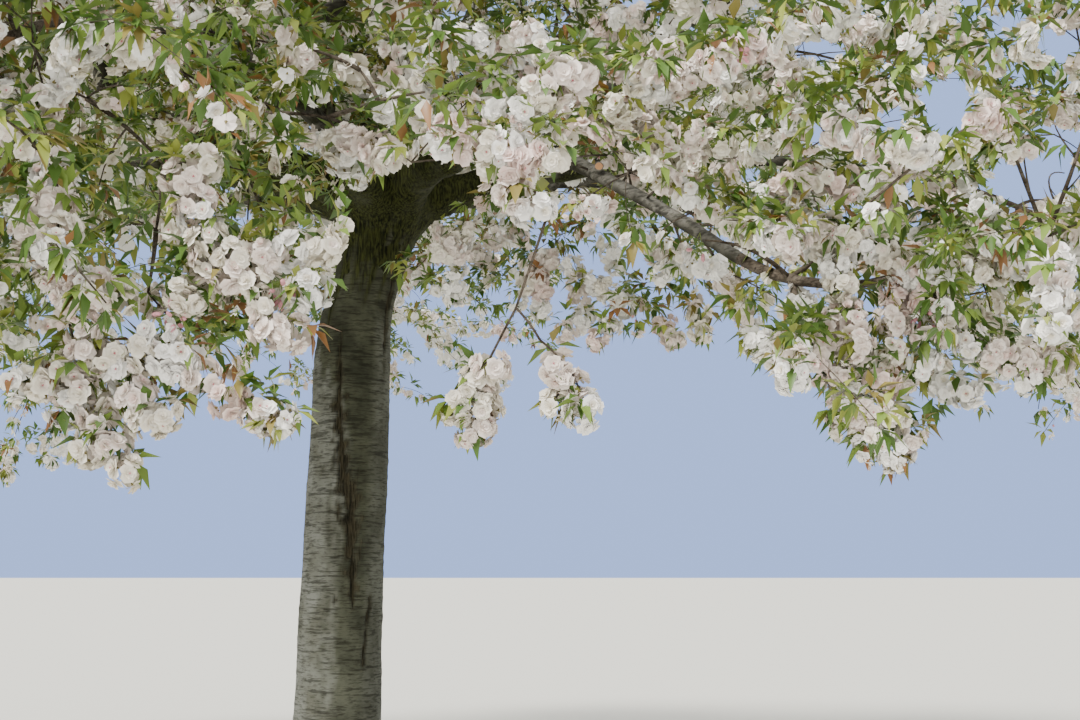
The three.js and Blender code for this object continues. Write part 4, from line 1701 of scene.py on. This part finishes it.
@dataclass(frozen=True)
class Whorl:
    """One whorl of cupped and rolled petals: how many, their outline, length and width, how steeply they
    stand and how that varies, the height of their feet, and the part of the bloom that they are."""

    petals: int
    outline: tuple[Pair, ...]
    length: float
    width: float
    steep: float
    ruffle: float
    foot: float
    part: BloomPart
    cup: float = 0.25
    roll: float = 0.5
    uneven: float = 0.4
    size: Pair = (0.88, 0.2)

    def add_to(self, bm: BMesh, dice: Dice) -> None:
        """Args:
            bm: the bloom so far.
            dice: what its ruffles are drawn from.
        """
        start = 2 * pi * dice.draw()
        for i in range(self.petals):
            turn = start + 2 * pi * (i + self.uneven * (dice.draw() - 0.5)) / self.petals
            steep = radians(self.steep + 2 * self.ruffle * (dice.draw() - 0.5))
            size = self.size[0] + self.size[1] * dice.draw()
            roll = self.roll * (dice.draw() - 0.5)
            made = bmesh.ops.create_circle(bm, cap_ends=True, segments=len(self.outline), radius=1)
            for vert, (aside, along) in zip(made["verts"], self.outline):
                side, run = aside * self.width * size, along * self.length * size
                up = self.foot + run * sin(steep) + (self.cup * abs(side) + roll * side)
                out = run * cos(steep)
                across = (-side * sin(turn), side * cos(turn))
                vert.co = (out * cos(turn) + across[0], out * sin(turn) + across[1], up)
            name_part(made, self.part)


@dataclass(frozen=True)
class BloomShape:
    """A double bloom that faces +Z: whorls of petals, with a small eye and a calyx where it is seen close.
    The eye's rise, and how far below the petals the calyx starts and runs, are shares of their radii."""

    whorls: tuple[Whorl, ...]
    eye: float = 0.0
    eye_height: float = 0.0
    calyx: float = 0.0
    eye_rise: float = 0.6
    calyx_below: float = 0.3
    calyx_run: float = 2.0

    def shape(self, seed: int) -> Shape:
        """Args:
            seed: what its ruffles are drawn from.

        Returns: the bloom.
        """
        bm, dice = bmesh.new(), Dice(seed)
        for whorl in self.whorls:
            whorl.add_to(bm, dice)
        eye = (self.eye, self.eye_height, self.eye_rise, BloomPart.EYE)
        calyx = (self.calyx, -self.calyx_below * self.calyx, -self.calyx_run, BloomPart.CALYX)
        for radius, height, rise, part in (eye, calyx):
            if not radius:
                continue
            sizes = {"segments": 3, "radius1": radius, "radius2": 0, "depth": radius}
            made = bmesh.ops.create_cone(bm, cap_ends=False, **sizes)
            for vert in made["verts"]:
                vert.co.z = height + (rise * radius if vert.co.z > 0 else 0)
            name_part(made, part)
        return Shape.of(bm)


BROAD = ((0.0, 0.0), (0.5, 0.55), (0.3, 1.0), (-0.34, 0.96), (-0.5, 0.5))
NARROW = ((0.0, 0.0), (0.5, 0.62), (0.0, 1.0), (-0.5, 0.62))
FULL_BLOOM = BloomShape(
    (
        Whorl(5, BROAD, 0.0245, 0.027, 2, 16, 0.0, BloomPart.OUTER),
        Whorl(5, NARROW, 0.021, 0.024, 27, 14, 0.002, BloomPart.OUTER),
        Whorl(4, NARROW, 0.0155, 0.019, 56, 16, 0.003, BloomPart.INNER),
    ),
    eye=0.0035,
    eye_height=0.0105,
    calyx=0.0048,
)
PLAIN_BLOOM = BloomShape(
    (
        Whorl(5, NARROW, 0.028, 0.034, 4, 20, 0.0, BloomPart.OUTER),
        Whorl(2, NARROW, 0.02, 0.032, 48, 16, 0.002, BloomPart.INNER),
    )
)
OPENING_BLOOM = BloomShape(
    (
        Whorl(5, BROAD, 0.018, 0.017, 52, 12, 0.0, BloomPart.INNER),
        Whorl(3, NARROW, 0.015, 0.014, 72, 12, 0.001, BloomPart.INNER),
    ),
    calyx=0.0045,
)
BLOOM_SEEDS = (3, 5, 8, 13, 21, 34)
OPENING_SEED = 21
BUD_RADIUS, BUD_LENGTH = 0.006, 0.011
STALK_RADIUS = 0.0012


@dataclass(frozen=True)
class LeafShape:
    """A young cherry leaf that points to +Z, its upper side to +Y: broad below its middle, drawn out to a
    point, folded along its rib and drooping."""

    length: float
    width: float
    fold: float
    droop: float
    widest: float = 0.4

    def shape(self) -> Shape:
        """Returns: the leaf."""
        bm = bmesh.new()
        bmesh.ops.create_grid(bm, x_segments=2, y_segments=2, size=0.5)
        for vert in bm.verts:
            side, middle = 2 * vert.co.x, abs(vert.co.y) < 0.1
            share = self.widest if middle else vert.co.y + 0.5
            half = 0.5 * self.width if middle else 0.0
            up = self.fold * abs(side) * half - self.droop * share**2 * self.length
            vert.co = (side * half, up, share * self.length)
        bmesh.ops.remove_doubles(bm, verts=bm.verts[:], dist=1e-5)
        return Shape.of(bm)


@dataclass(frozen=True)
class Umbels:
    """Hanging balls of blooms, one after another along the outer part of a twig, packed into a garland.

    Pairs are the least and the most, but ball_spread is a share and what chance adds to it. Blooms stand in
    a scattered spiral down the ball, some a tint pinker inside, each with its stalk at its back."""

    pitch: float = 0.066
    blooms: tuple[int, int] = (6, 8)
    sparse_blooms: tuple[int, int] = (1, 2)
    ball: float = 0.04
    drop: float = 0.03
    top: float = 0.75
    tints: Row = (0.58, 0.26, 0.13, 0.03)
    opening: float = 0.02
    bud: float = 0.008
    size: Pair = (0.84, 1.06)
    stalk_seen: float = 0.5
    eye_seen: float = 0.4
    ball_spread: Pair = (0.85, 0.3)
    place_scatter: float = 0.35
    face_scatter: float = 0.25
    flushed: float = 0.25
    clear: float = 0.02
    room: float = 0.026
    back: float = 0.008


@dataclass(frozen=True)
class Sprays:
    """Stars of young leaves at the twigs' ends and among the blossom. Leafy twigs grow in patches, more of
    them in a mass's upper part.

    Pairs are the least and the most, but onwards, upwards and shoot hold a value for a spray at a twig's end
    and one for a spray along it. A leaf twists, sags, and stands off its shoot by its stalk."""

    pitch: float = 0.044
    leaves: tuple[int, int] = (5, 8)
    leafy_twigs: float = 0.64
    leafy_rise: float = 0.2
    patch: float = 0.3
    patchy: float = 1.2
    among: float = 0.5
    length: float = 0.062
    width: float = 0.029
    tints: Row = (0.36, 0.35, 0.19, 0.07, 0.03)
    tilt: Pair = (30.0, 80.0)
    size: Pair = (0.7, 1.15)
    onwards: Pair = (1.2, 0.3)
    upwards: Pair = (0.25, 0.5)
    shoot: Pair = (0.012, 0.035)
    uneven: float = 0.1
    sag: float = 0.3
    stalk: float = 0.008
    twist: float = 0.7
    mixed: float = 0.3
    room: float = 0.035
    forms: tuple[Triple, ...] = ((1.0, 0.35, 0.22), (0.86, 0.35, 0.4), (1.0, 0.6, 0.1))

    def shapes(self) -> list[Shape]:
        """Returns: the leaves' shapes, from each form's width, fold and droop."""
        sizes = [(self.length, wide * self.width, fold, droop) for wide, fold, droop in self.forms]
        return [LeafShape(*size).shape() for size in sizes]


# The front's sprays are dealt more of the dimmer cream and blush tints, as painted shade for blossom that
# hangs in shade.
WHITE_UMBELS = Umbels(0.046, (10, 12), (0, 2), 0.03, 0.026, tints=(0.26, 0.42, 0.27, 0.05), size=(0.74, 0.94))
BLUSH_UMBELS = Umbels(0.052, (10, 13), (0, 3), 0.031, 0.028, tints=(0.4, 0.22, 0.31, 0.07), size=(0.72, 0.92))
LEAFY_SPRAYS = Sprays(
    pitch=0.019, leafy_twigs=0.9, leafy_rise=0.0, patch=0.16, patchy=0.8, among=0.4, length=0.055, width=0.023
)
FLOWERY_SPRAYS = replace(LEAFY_SPRAYS, leafy_twigs=0.48)
CLOSE = 4.0
# The sides, the stretches and the tip's radius of stems, first twigs and fine twigs.
TWIG_TUBES = ((8, 10, 0.006), (6, 8, 0.0026), (3, 4, 0.0016))


@dataclass(frozen=True)
class Blooms:
    """A group's blooms, one a row: their middles, turns and sizes, their parts' finishes, where their stalks
    leave the twigs, whether those show, and each one's form and whether it is open or still a bud."""

    middles: Array
    turns: Array
    sizes: Array
    slots: Array
    feet: Array
    stalked: Array
    form: Array
    opened: Array
    closed: Array

    def add_to(self, batch: Batch, shape: Shape, own: Array, slots: Array) -> None:
        """Adds a shape to a batch at each of its own blooms, with the finishes of its parts."""
        batch.copies(shape, self.middles[own], self.turns[own], self.sizes[own], slots[own])


@dataclass
class Dressing:
    """The twigs, blossom and leaves of a group of masses, joined by kind."""

    name: str
    growths: list[MassGrowth]
    spaces: Spaces
    seed: int
    near: bool
    umbels: Umbels
    sprays: Sprays
    chance: np.random.Generator = field(init=False)
    dressed: list[Twig] = field(init=False, default_factory=list)
    leafy: Array = field(init=False)
    patch_at: float = 0.75
    place_spread: Pair = (0.15, 0.3)

    def __post_init__(self) -> None:
        """Starts the group's chance and deals out which twigs are leafy."""
        self.chance = np.random.default_rng(self.seed)
        rises = []
        for growth in self.growths:
            dressed = [twig for twig in growth.twigs if twig.bare < 1]
            self.dressed += dressed
            rises += [(twig.control[2, 2] - growth.mass.heart[2]) / growth.mass.half[2] for twig in dressed]
        share = self.sprays.leafy_twigs * (1 + self.sprays.leafy_rise * np.array(rises))
        middles = [quadratic(twig.control, self.patch_at) for twig in self.dressed]
        patches = [noise.noise(Vector(middle) / self.sprays.patch) for middle in middles]
        share += self.sprays.patchy * np.array(patches)
        may_leaf = np.array([twig.may_leaf for twig in self.dressed])
        self.leafy = may_leaf & (self.chance.random(len(self.dressed)) < share)

    def between(self, limits: Pair, count: int) -> Array:
        """Returns: as many numbers as are asked for, drawn between two limits."""
        return limits[0] + (limits[1] - limits[0]) * self.chance.random(count)

    def places(self, pitch: float) -> tuple[Array, Array, Array, Array]:
        """Args:
            pitch: how far apart places are along a twig.

        Returns: the places, the twigs' directions there, and which are at an end or on a leafy twig.
        """
        points, headings, ends, leafy = [], [], [], []
        least, more = self.place_spread
        for twig, is_leafy in zip(self.dressed, self.leafy):
            count = max(1, round((1 - twig.bare) * twig.run / pitch))
            steps = np.arange(count) + least + more * self.chance.random(count)
            shares = 1 - (1 - twig.bare) * steps / count
            points.append(quadratic(twig.control, shares))
            headings.append(quadratic_heading(twig.control, shares))
            ends.append(np.arange(count) == 0)
            leafy.append(np.full(count, is_leafy))
        return tuple(np.concatenate(part) for part in (points, headings, ends, leafy))

    def twigs(self, bark: Material) -> Object:
        """Args:
            bark: the twigs' material.

        Returns: the stems and twigs as one piece.
        """
        batch = Batch()
        stems = [growth.stem for growth in self.growths]
        coarse = [twig for growth in self.growths for twig in growth.twigs if not twig.fine]
        fine = [twig for growth in self.growths for twig in growth.twigs if twig.fine]
        for (sides, rings, tip), twigs in zip(TWIG_TUBES, (stems, coarse, fine)):
            net = Tube(sides, rings)
            if twigs:
                batch.add(net.along_twigs(twigs, tip), net.faces)
        return batch.piece("twigs_" + self.name, [bark])

    def ways_round(self, counts: Array, owner: Array) -> Array:
        """Args:
            counts: how many blooms each ball has.
            owner: the ball of each bloom.

        Returns: the way to each bloom from its ball's middle, in a spiral from the top down.
        """
        order = np.concatenate([np.arange(count) for count in counts])
        up = self.umbels.top - (1 + self.umbels.top) * (order + 0.5) / counts[owner]
        golden = pi * (3 - sqrt(5))
        turn = golden * order + (2 * pi * self.chance.random(len(counts)))[owner]
        level = np.sqrt(1 - up**2)
        ways = np.stack([level * np.cos(turn), level * np.sin(turn), up], axis=1)
        return unit(ways + self.umbels.place_scatter * self.chance.normal(size=ways.shape))

    def deal_blooms(self) -> Blooms:
        """Returns: the group's blooms and buds, but none that would meet a limb or show in an opening."""
        chance, umbels = self.chance, self.umbels
        spots, _, _, leafy = self.places(umbels.pitch)
        ranges = (umbels.blooms, umbels.sparse_blooms)
        many, few = (chance.integers(low, high + 1, len(spots)) for low, high in ranges)
        counts = np.where(leafy, few, many)
        owner = np.repeat(np.arange(len(spots)), counts)
        ways = self.ways_round(counts, owner)
        least, more = umbels.ball_spread
        ball = umbels.ball * np.sqrt(counts[owner] / np.mean(umbels.blooms))
        ball = ball * (least + more * chance.random(len(owner)))
        middles = spots[owner] + ways * ball[:, None] - [0, 0, umbels.drop]
        kept = self.spaces.limb_distance(middles) > umbels.clear
        kept &= ~OPENINGS.show(middles) & in_reach(middles, umbels.room)
        middles, ways, owner = middles[kept], ways[kept], owner[kept]
        total = len(owner)
        faces = unit(ways + umbels.face_scatter * chance.normal(size=ways.shape))
        turns = bases(faces, 2 * pi * chance.random(total))
        sizes = self.between(umbels.size, total)
        tint = chance.choice(len(umbels.tints), len(spots), p=umbels.tints)[owner]
        inner = np.where(chance.random(total) < umbels.flushed, np.minimum(tint + 1, PINK_AND_SHADE), tint)
        eye = np.where(chance.random(total) < umbels.eye_seen, EYE, inner)
        slots = np.stack([tint, inner, eye, np.full(total, CALYX)], axis=1)
        state = chance.random(len(spots))[owner]
        form = chance.integers(0, len(BLOOM_SEEDS), total)
        closed = state <= umbels.bud
        stalked = (chance.random(total) < umbels.stalk_seen) if self.near else state < umbels.opening
        opened = state > umbels.opening + umbels.bud
        return Blooms(middles, turns, sizes, slots, spots[owner], stalked | closed, form, opened, closed)

    def blossom(self, petals: list[Material]) -> list[Object]:
        """Args:
            petals: the materials of the blooms' parts.

        Returns: every bloom and bud as one piece, or as two where seen close.
        """
        blooms = self.deal_blooms()
        close = VIEW.see(blooms.middles)[2] < CLOSE
        pinker = blooms.slots.copy()
        pinker[:, :2] = PINK_AND_SHADE
        bud_rose = np.full_like(blooms.slots[:, :1], BUD)
        backs = blooms.middles - blooms.turns[:, :, 2] * (self.umbels.back * blooms.sizes)[:, None]
        left = blooms.feet[:, 0] < np.median(blooms.feet[:, 0])
        parts = {"_a": left, "_b": ~left} if self.near else {"": np.full(len(left), True)}
        pieces = []
        for part, here in parts.items():
            batch = Batch()
            for i, seed in enumerate(BLOOM_SEEDS):
                for bloom, seen in ((FULL_BLOOM, close), (PLAIN_BLOOM, ~close)):
                    own = here & blooms.opened & seen & (blooms.form == i)
                    blooms.add_to(batch, bloom.shape(seed), own, blooms.slots)
            opening = here & ~blooms.opened & ~blooms.closed
            blooms.add_to(batch, OPENING_BLOOM.shape(OPENING_SEED), opening, pinker)
            blooms.add_to(batch, self.bud(), here & blooms.closed, bud_rose)
            stalked = here & blooms.stalked
            self.add_stalks(batch, blooms.feet[stalked], backs[stalked])
            pieces.append(batch.piece("blossom_sprays_" + self.name + part, petals, smooth=False))
        return pieces

    def bud(self) -> Shape:
        """Returns: a closed bud, a small drop."""
        bm = bmesh.new()
        bmesh.ops.create_uvsphere(bm, u_segments=4, v_segments=3, radius=1)
        for vert in bm.verts:
            vert.co = (vert.co.x * BUD_RADIUS, vert.co.y * BUD_RADIUS, vert.co.z * BUD_LENGTH)
        return Shape.of(bm)

    def add_stalks(self, batch: Batch, feet: Array, ends: Array) -> None:
        """Args:
            batch: the blossom so far.
            feet: where each stalk leaves its twig.
            ends: where each reaches its bloom.
        """
        bm = bmesh.new()
        bmesh.ops.create_cone(bm, cap_ends=False, segments=3, radius1=STALK_RADIUS, radius2=0, depth=1)
        spike = Shape.of(bm)
        ways = ends - feet
        turns = bases(ways, np.zeros(len(ways)))
        across = np.einsum("nij,vj->nvi", turns, spike.points * [1, 1, 0])
        along = (spike.points[:, 2] + 0.5)[None, :, None] * ways[:, None, :]
        batch.add(feet[:, None, :] + across + along, spike.faces, STALK)

    def leaves(self, tints: list[Material]) -> Object:
        """Args:
            tints: the leaves' materials.

        Returns: every leaf as one piece.
        """
        chance, sprays = self.chance, self.sprays
        spots, headings, ends, leafy = self.places(sprays.pitch)
        kept = (ends | leafy | (chance.random(len(spots)) < sprays.among)) & ~OPENINGS.show(spots)
        spots, headings, ends = spots[kept], headings[kept], ends[kept][:, None]
        pairs = (sprays.onwards, sprays.upwards, sprays.shoot)
        onwards, upwards, run = (np.where(ends, *pair) for pair in pairs)
        shoots = unit(headings * onwards + unit(chance.normal(size=spots.shape)) + [0, 0, 1] * upwards)
        counts = chance.integers(sprays.leaves[0], sprays.leaves[1] + 1, len(spots))
        owner = np.repeat(np.arange(len(spots)), counts)
        total = len(owner)
        around = bases(shoots, chance.random(len(spots)) * 2 * pi)[owner]
        order = np.concatenate([np.arange(count) / count for count in counts])
        turn = 2 * pi * (order + sprays.uneven * chance.random(total))
        tilt = np.radians(self.between(sprays.tilt, total))
        level = np.cos(turn)[:, None] * around[:, :, 0] + np.sin(turn)[:, None] * around[:, :, 1]
        ways = np.cos(tilt)[:, None] * shoots[owner] + np.sin(tilt)[:, None] * level
        ways = unit(ways - [0, 0, sprays.sag])
        feet = spots[owner] + shoots[owner] * run[owner] + ways * sprays.stalk
        sizes = self.between(sprays.size, total)
        turns = bases(ways, sprays.twist * (chance.random(total) - 0.5))
        own_tint = chance.choice(len(sprays.tints), len(spots), p=sprays.tints)[owner]
        mixed = chance.random(total) < sprays.mixed
        tint = np.where(mixed, chance.choice(len(sprays.tints), total, p=sprays.tints), own_tint)
        middles = feet + ways * 0.5 * sprays.length
        shown = ~OPENINGS.show(middles) & in_reach(middles, sprays.room)
        form = chance.integers(0, len(sprays.forms), total)
        batch = Batch()
        for i, shape in enumerate(sprays.shapes()):
            own = shown & (form == i)
            batch.copies(shape, feet[own], turns[own], sizes[own], tint[own][:, None])
        return batch.piece("leaf_sprays_" + self.name, tints)


@dataclass(frozen=True)
class Lamp:
    """A soft light from one side: its strength and colour, and its width, tilt and turn in degrees."""

    name: str
    strength: float
    colour: str
    width: float
    tilt: float
    turn: float

    def build(self) -> None:
        """Builds the light."""
        sun = bpy.data.lights.new(self.name, "SUN")
        sun.energy = self.strength
        sun.angle = radians(self.width)
        sun.color = linear(self.colour)[:3]
        placed(self.name, sun).rotation_euler = (radians(self.tilt), 0, radians(self.turn))


@dataclass(frozen=True)
class Studio:
    """A plain pale floor and backdrop, soft light from above the left and from below it, and the camera."""

    sensor: float = 36.0
    frame_width: float = 1080.0
    floor_half: float = 150.0
    floor: PlainFinish = PlainFinish("floor_plain", "#d3d2ca", 0.9)
    backdrop: str = "#9db7ef"
    backdrop_strength: float = 1.5
    sky_light: str = "#f1f2f4"
    sky_strength: float = 1.3
    lamps: tuple[Lamp, ...] = (
        Lamp("key", 6.3, "#fffcf3", 20.0, 42.0, -38.0),
        Lamp("fill", 1.7, "#fff3e2", 60.0, 108.0, -42.0),
    )

    def light(self) -> None:
        """Lights the scene, with a backdrop that only the camera sees in its own colour."""
        world = bpy.data.worlds.new("backdrop")
        world.use_nodes = True
        tree = world.node_tree
        tree.nodes.clear()
        inputs = {"Color": linear(self.backdrop), "Strength": self.backdrop_strength}
        seen = add_node(tree, "Background", {}, inputs).outputs[0]
        inputs = {"Color": linear(self.sky_light), "Strength": self.sky_strength}
        lit = add_node(tree, "Background", {}, inputs).outputs[0]
        camera_ray = add_node(tree, "LightPath").outputs["Is Camera Ray"]
        mixed = add_node(tree, "MixShader", {}, {0: camera_ray, 1: lit, 2: seen}).outputs[0]
        add_node(tree, "OutputWorld", {}, {"Surface": mixed})
        bpy.context.scene.world = world
        for lamp in self.lamps:
            lamp.build()

    def build(self) -> None:
        """Builds the floor, the light and the camera."""
        bm = bmesh.new()
        bmesh.ops.create_grid(bm, x_segments=1, y_segments=1, size=self.floor_half)
        placed("floor", mesh_of(bm, "floor", [self.floor.material()]))
        self.light()
        lens = bpy.data.cameras.new("camera")
        lens.sensor_width = self.sensor
        lens.lens = self.sensor * VIEW.focal / self.frame_width
        camera = placed("camera", lens)
        camera.location = VIEW.place
        camera.rotation_euler = (radians(90 + VIEW.tilt), 0, 0)
        bpy.context.scene.camera = camera


@dataclass(frozen=True)
class Group:
    """Masses that are dressed as one, whether they are seen close, and their umbels and sprays."""

    masses: tuple[str, ...]
    near: bool = False
    umbels: Umbels = Umbels()
    sprays: Sprays = Sprays()


GROUPS = {
    "rim_front": Group(("front",), True, WHITE_UMBELS, LEAFY_SPRAYS),
    "rim_front_right": Group(("front_right",), True, BLUSH_UMBELS, FLOWERY_SPRAYS),
    "rim_right": Group(("right", "back_right")),
    "rim_back": Group(("back", "back_left")),
    "rim_left": Group(("left", "front_left"), sprays=Sprays(leafy_twigs=0.72)),
    "side_right": Group(("side_7", "side_8", "side_1", "side_2")),
    "side_left": Group(("side_3", "side_4", "side_5", "side_6")),
    "rising": Group(("rising_1", "rising_2", "rising_3", "rising_4")),
    "middle": Group(("inner_1", "inner_2", "inner_3", "inner_4", "leader")),
}
PRUNED_BOUGH = "bough_front_right"
FIRST_GROUP_SEED = 7000
NOISE_SEED = 5


def finish_piece(made: Object, nodes: list[str]) -> None:
    """Args:
        made: a finished piece.
        nodes: the solids that it stands for.
    """
    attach(made, BODY)
    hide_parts(*nodes)
    log.info("%s: %d triangles for %d solids", made.name, len(made.data.polygons), len(nodes))


def main() -> None:
    """Builds the bark, the twigs, the blossom and the leaves, then the studio."""
    logging.basicConfig(level=logging.INFO, format="%(message)s")
    # Blender's vector noise, which swings the limbs, starts from the clock unless it is given a seed.
    noise.seed_set(NOISE_SEED)
    plan = TreePlan()
    masses = plan.plan()
    spaces = Spaces(masses, plan.clear)
    trunk_bark, bough_bark, twig_bark = (bark.material() for bark in (TRUNK_BARK, BOUGH_BARK, TWIG_BARK))
    petals = [finish.material() for finish in PETALS]
    tints = [finish.material() for finish in LEAVES]
    trunk = TrunkSkin()
    finish_piece(trunk.build(trunk_bark), ["trunk"])
    forked = [mass.limb for mass in masses if mass.kind in FROM_HEAD]
    finish_piece(ForkSkin(trunk, forked).build(trunk_bark), ["trunk"])
    for mass in masses:
        skin = LIMB_SKINS[mass.kind].build(mass.limb, bough_bark)
        finish_piece(skin, [mass.limb.name])
        if mass.limb.name == PRUNED_BOUGH:
            finish_piece(PrunedStub().build(mass.limb, bough_bark, CutWood()), [PRUNED_BOUGH])
    for i, (name, group) in enumerate(GROUPS.items()):
        nodes = ["blossom_" + mass for mass in group.masses]
        growths = [MassGrowth(mass, spaces, group.near) for mass in masses if mass.name in nodes]
        seed = FIRST_GROUP_SEED + i
        dressing = Dressing(name, growths, spaces, seed, group.near, group.umbels, group.sprays)
        finish_piece(dressing.twigs(twig_bark), nodes)
        for piece in dressing.blossom(petals):
            finish_piece(piece, nodes)
        finish_piece(dressing.leaves(tints), nodes)
    Studio().build()


if __name__ == "__main__":
    main()
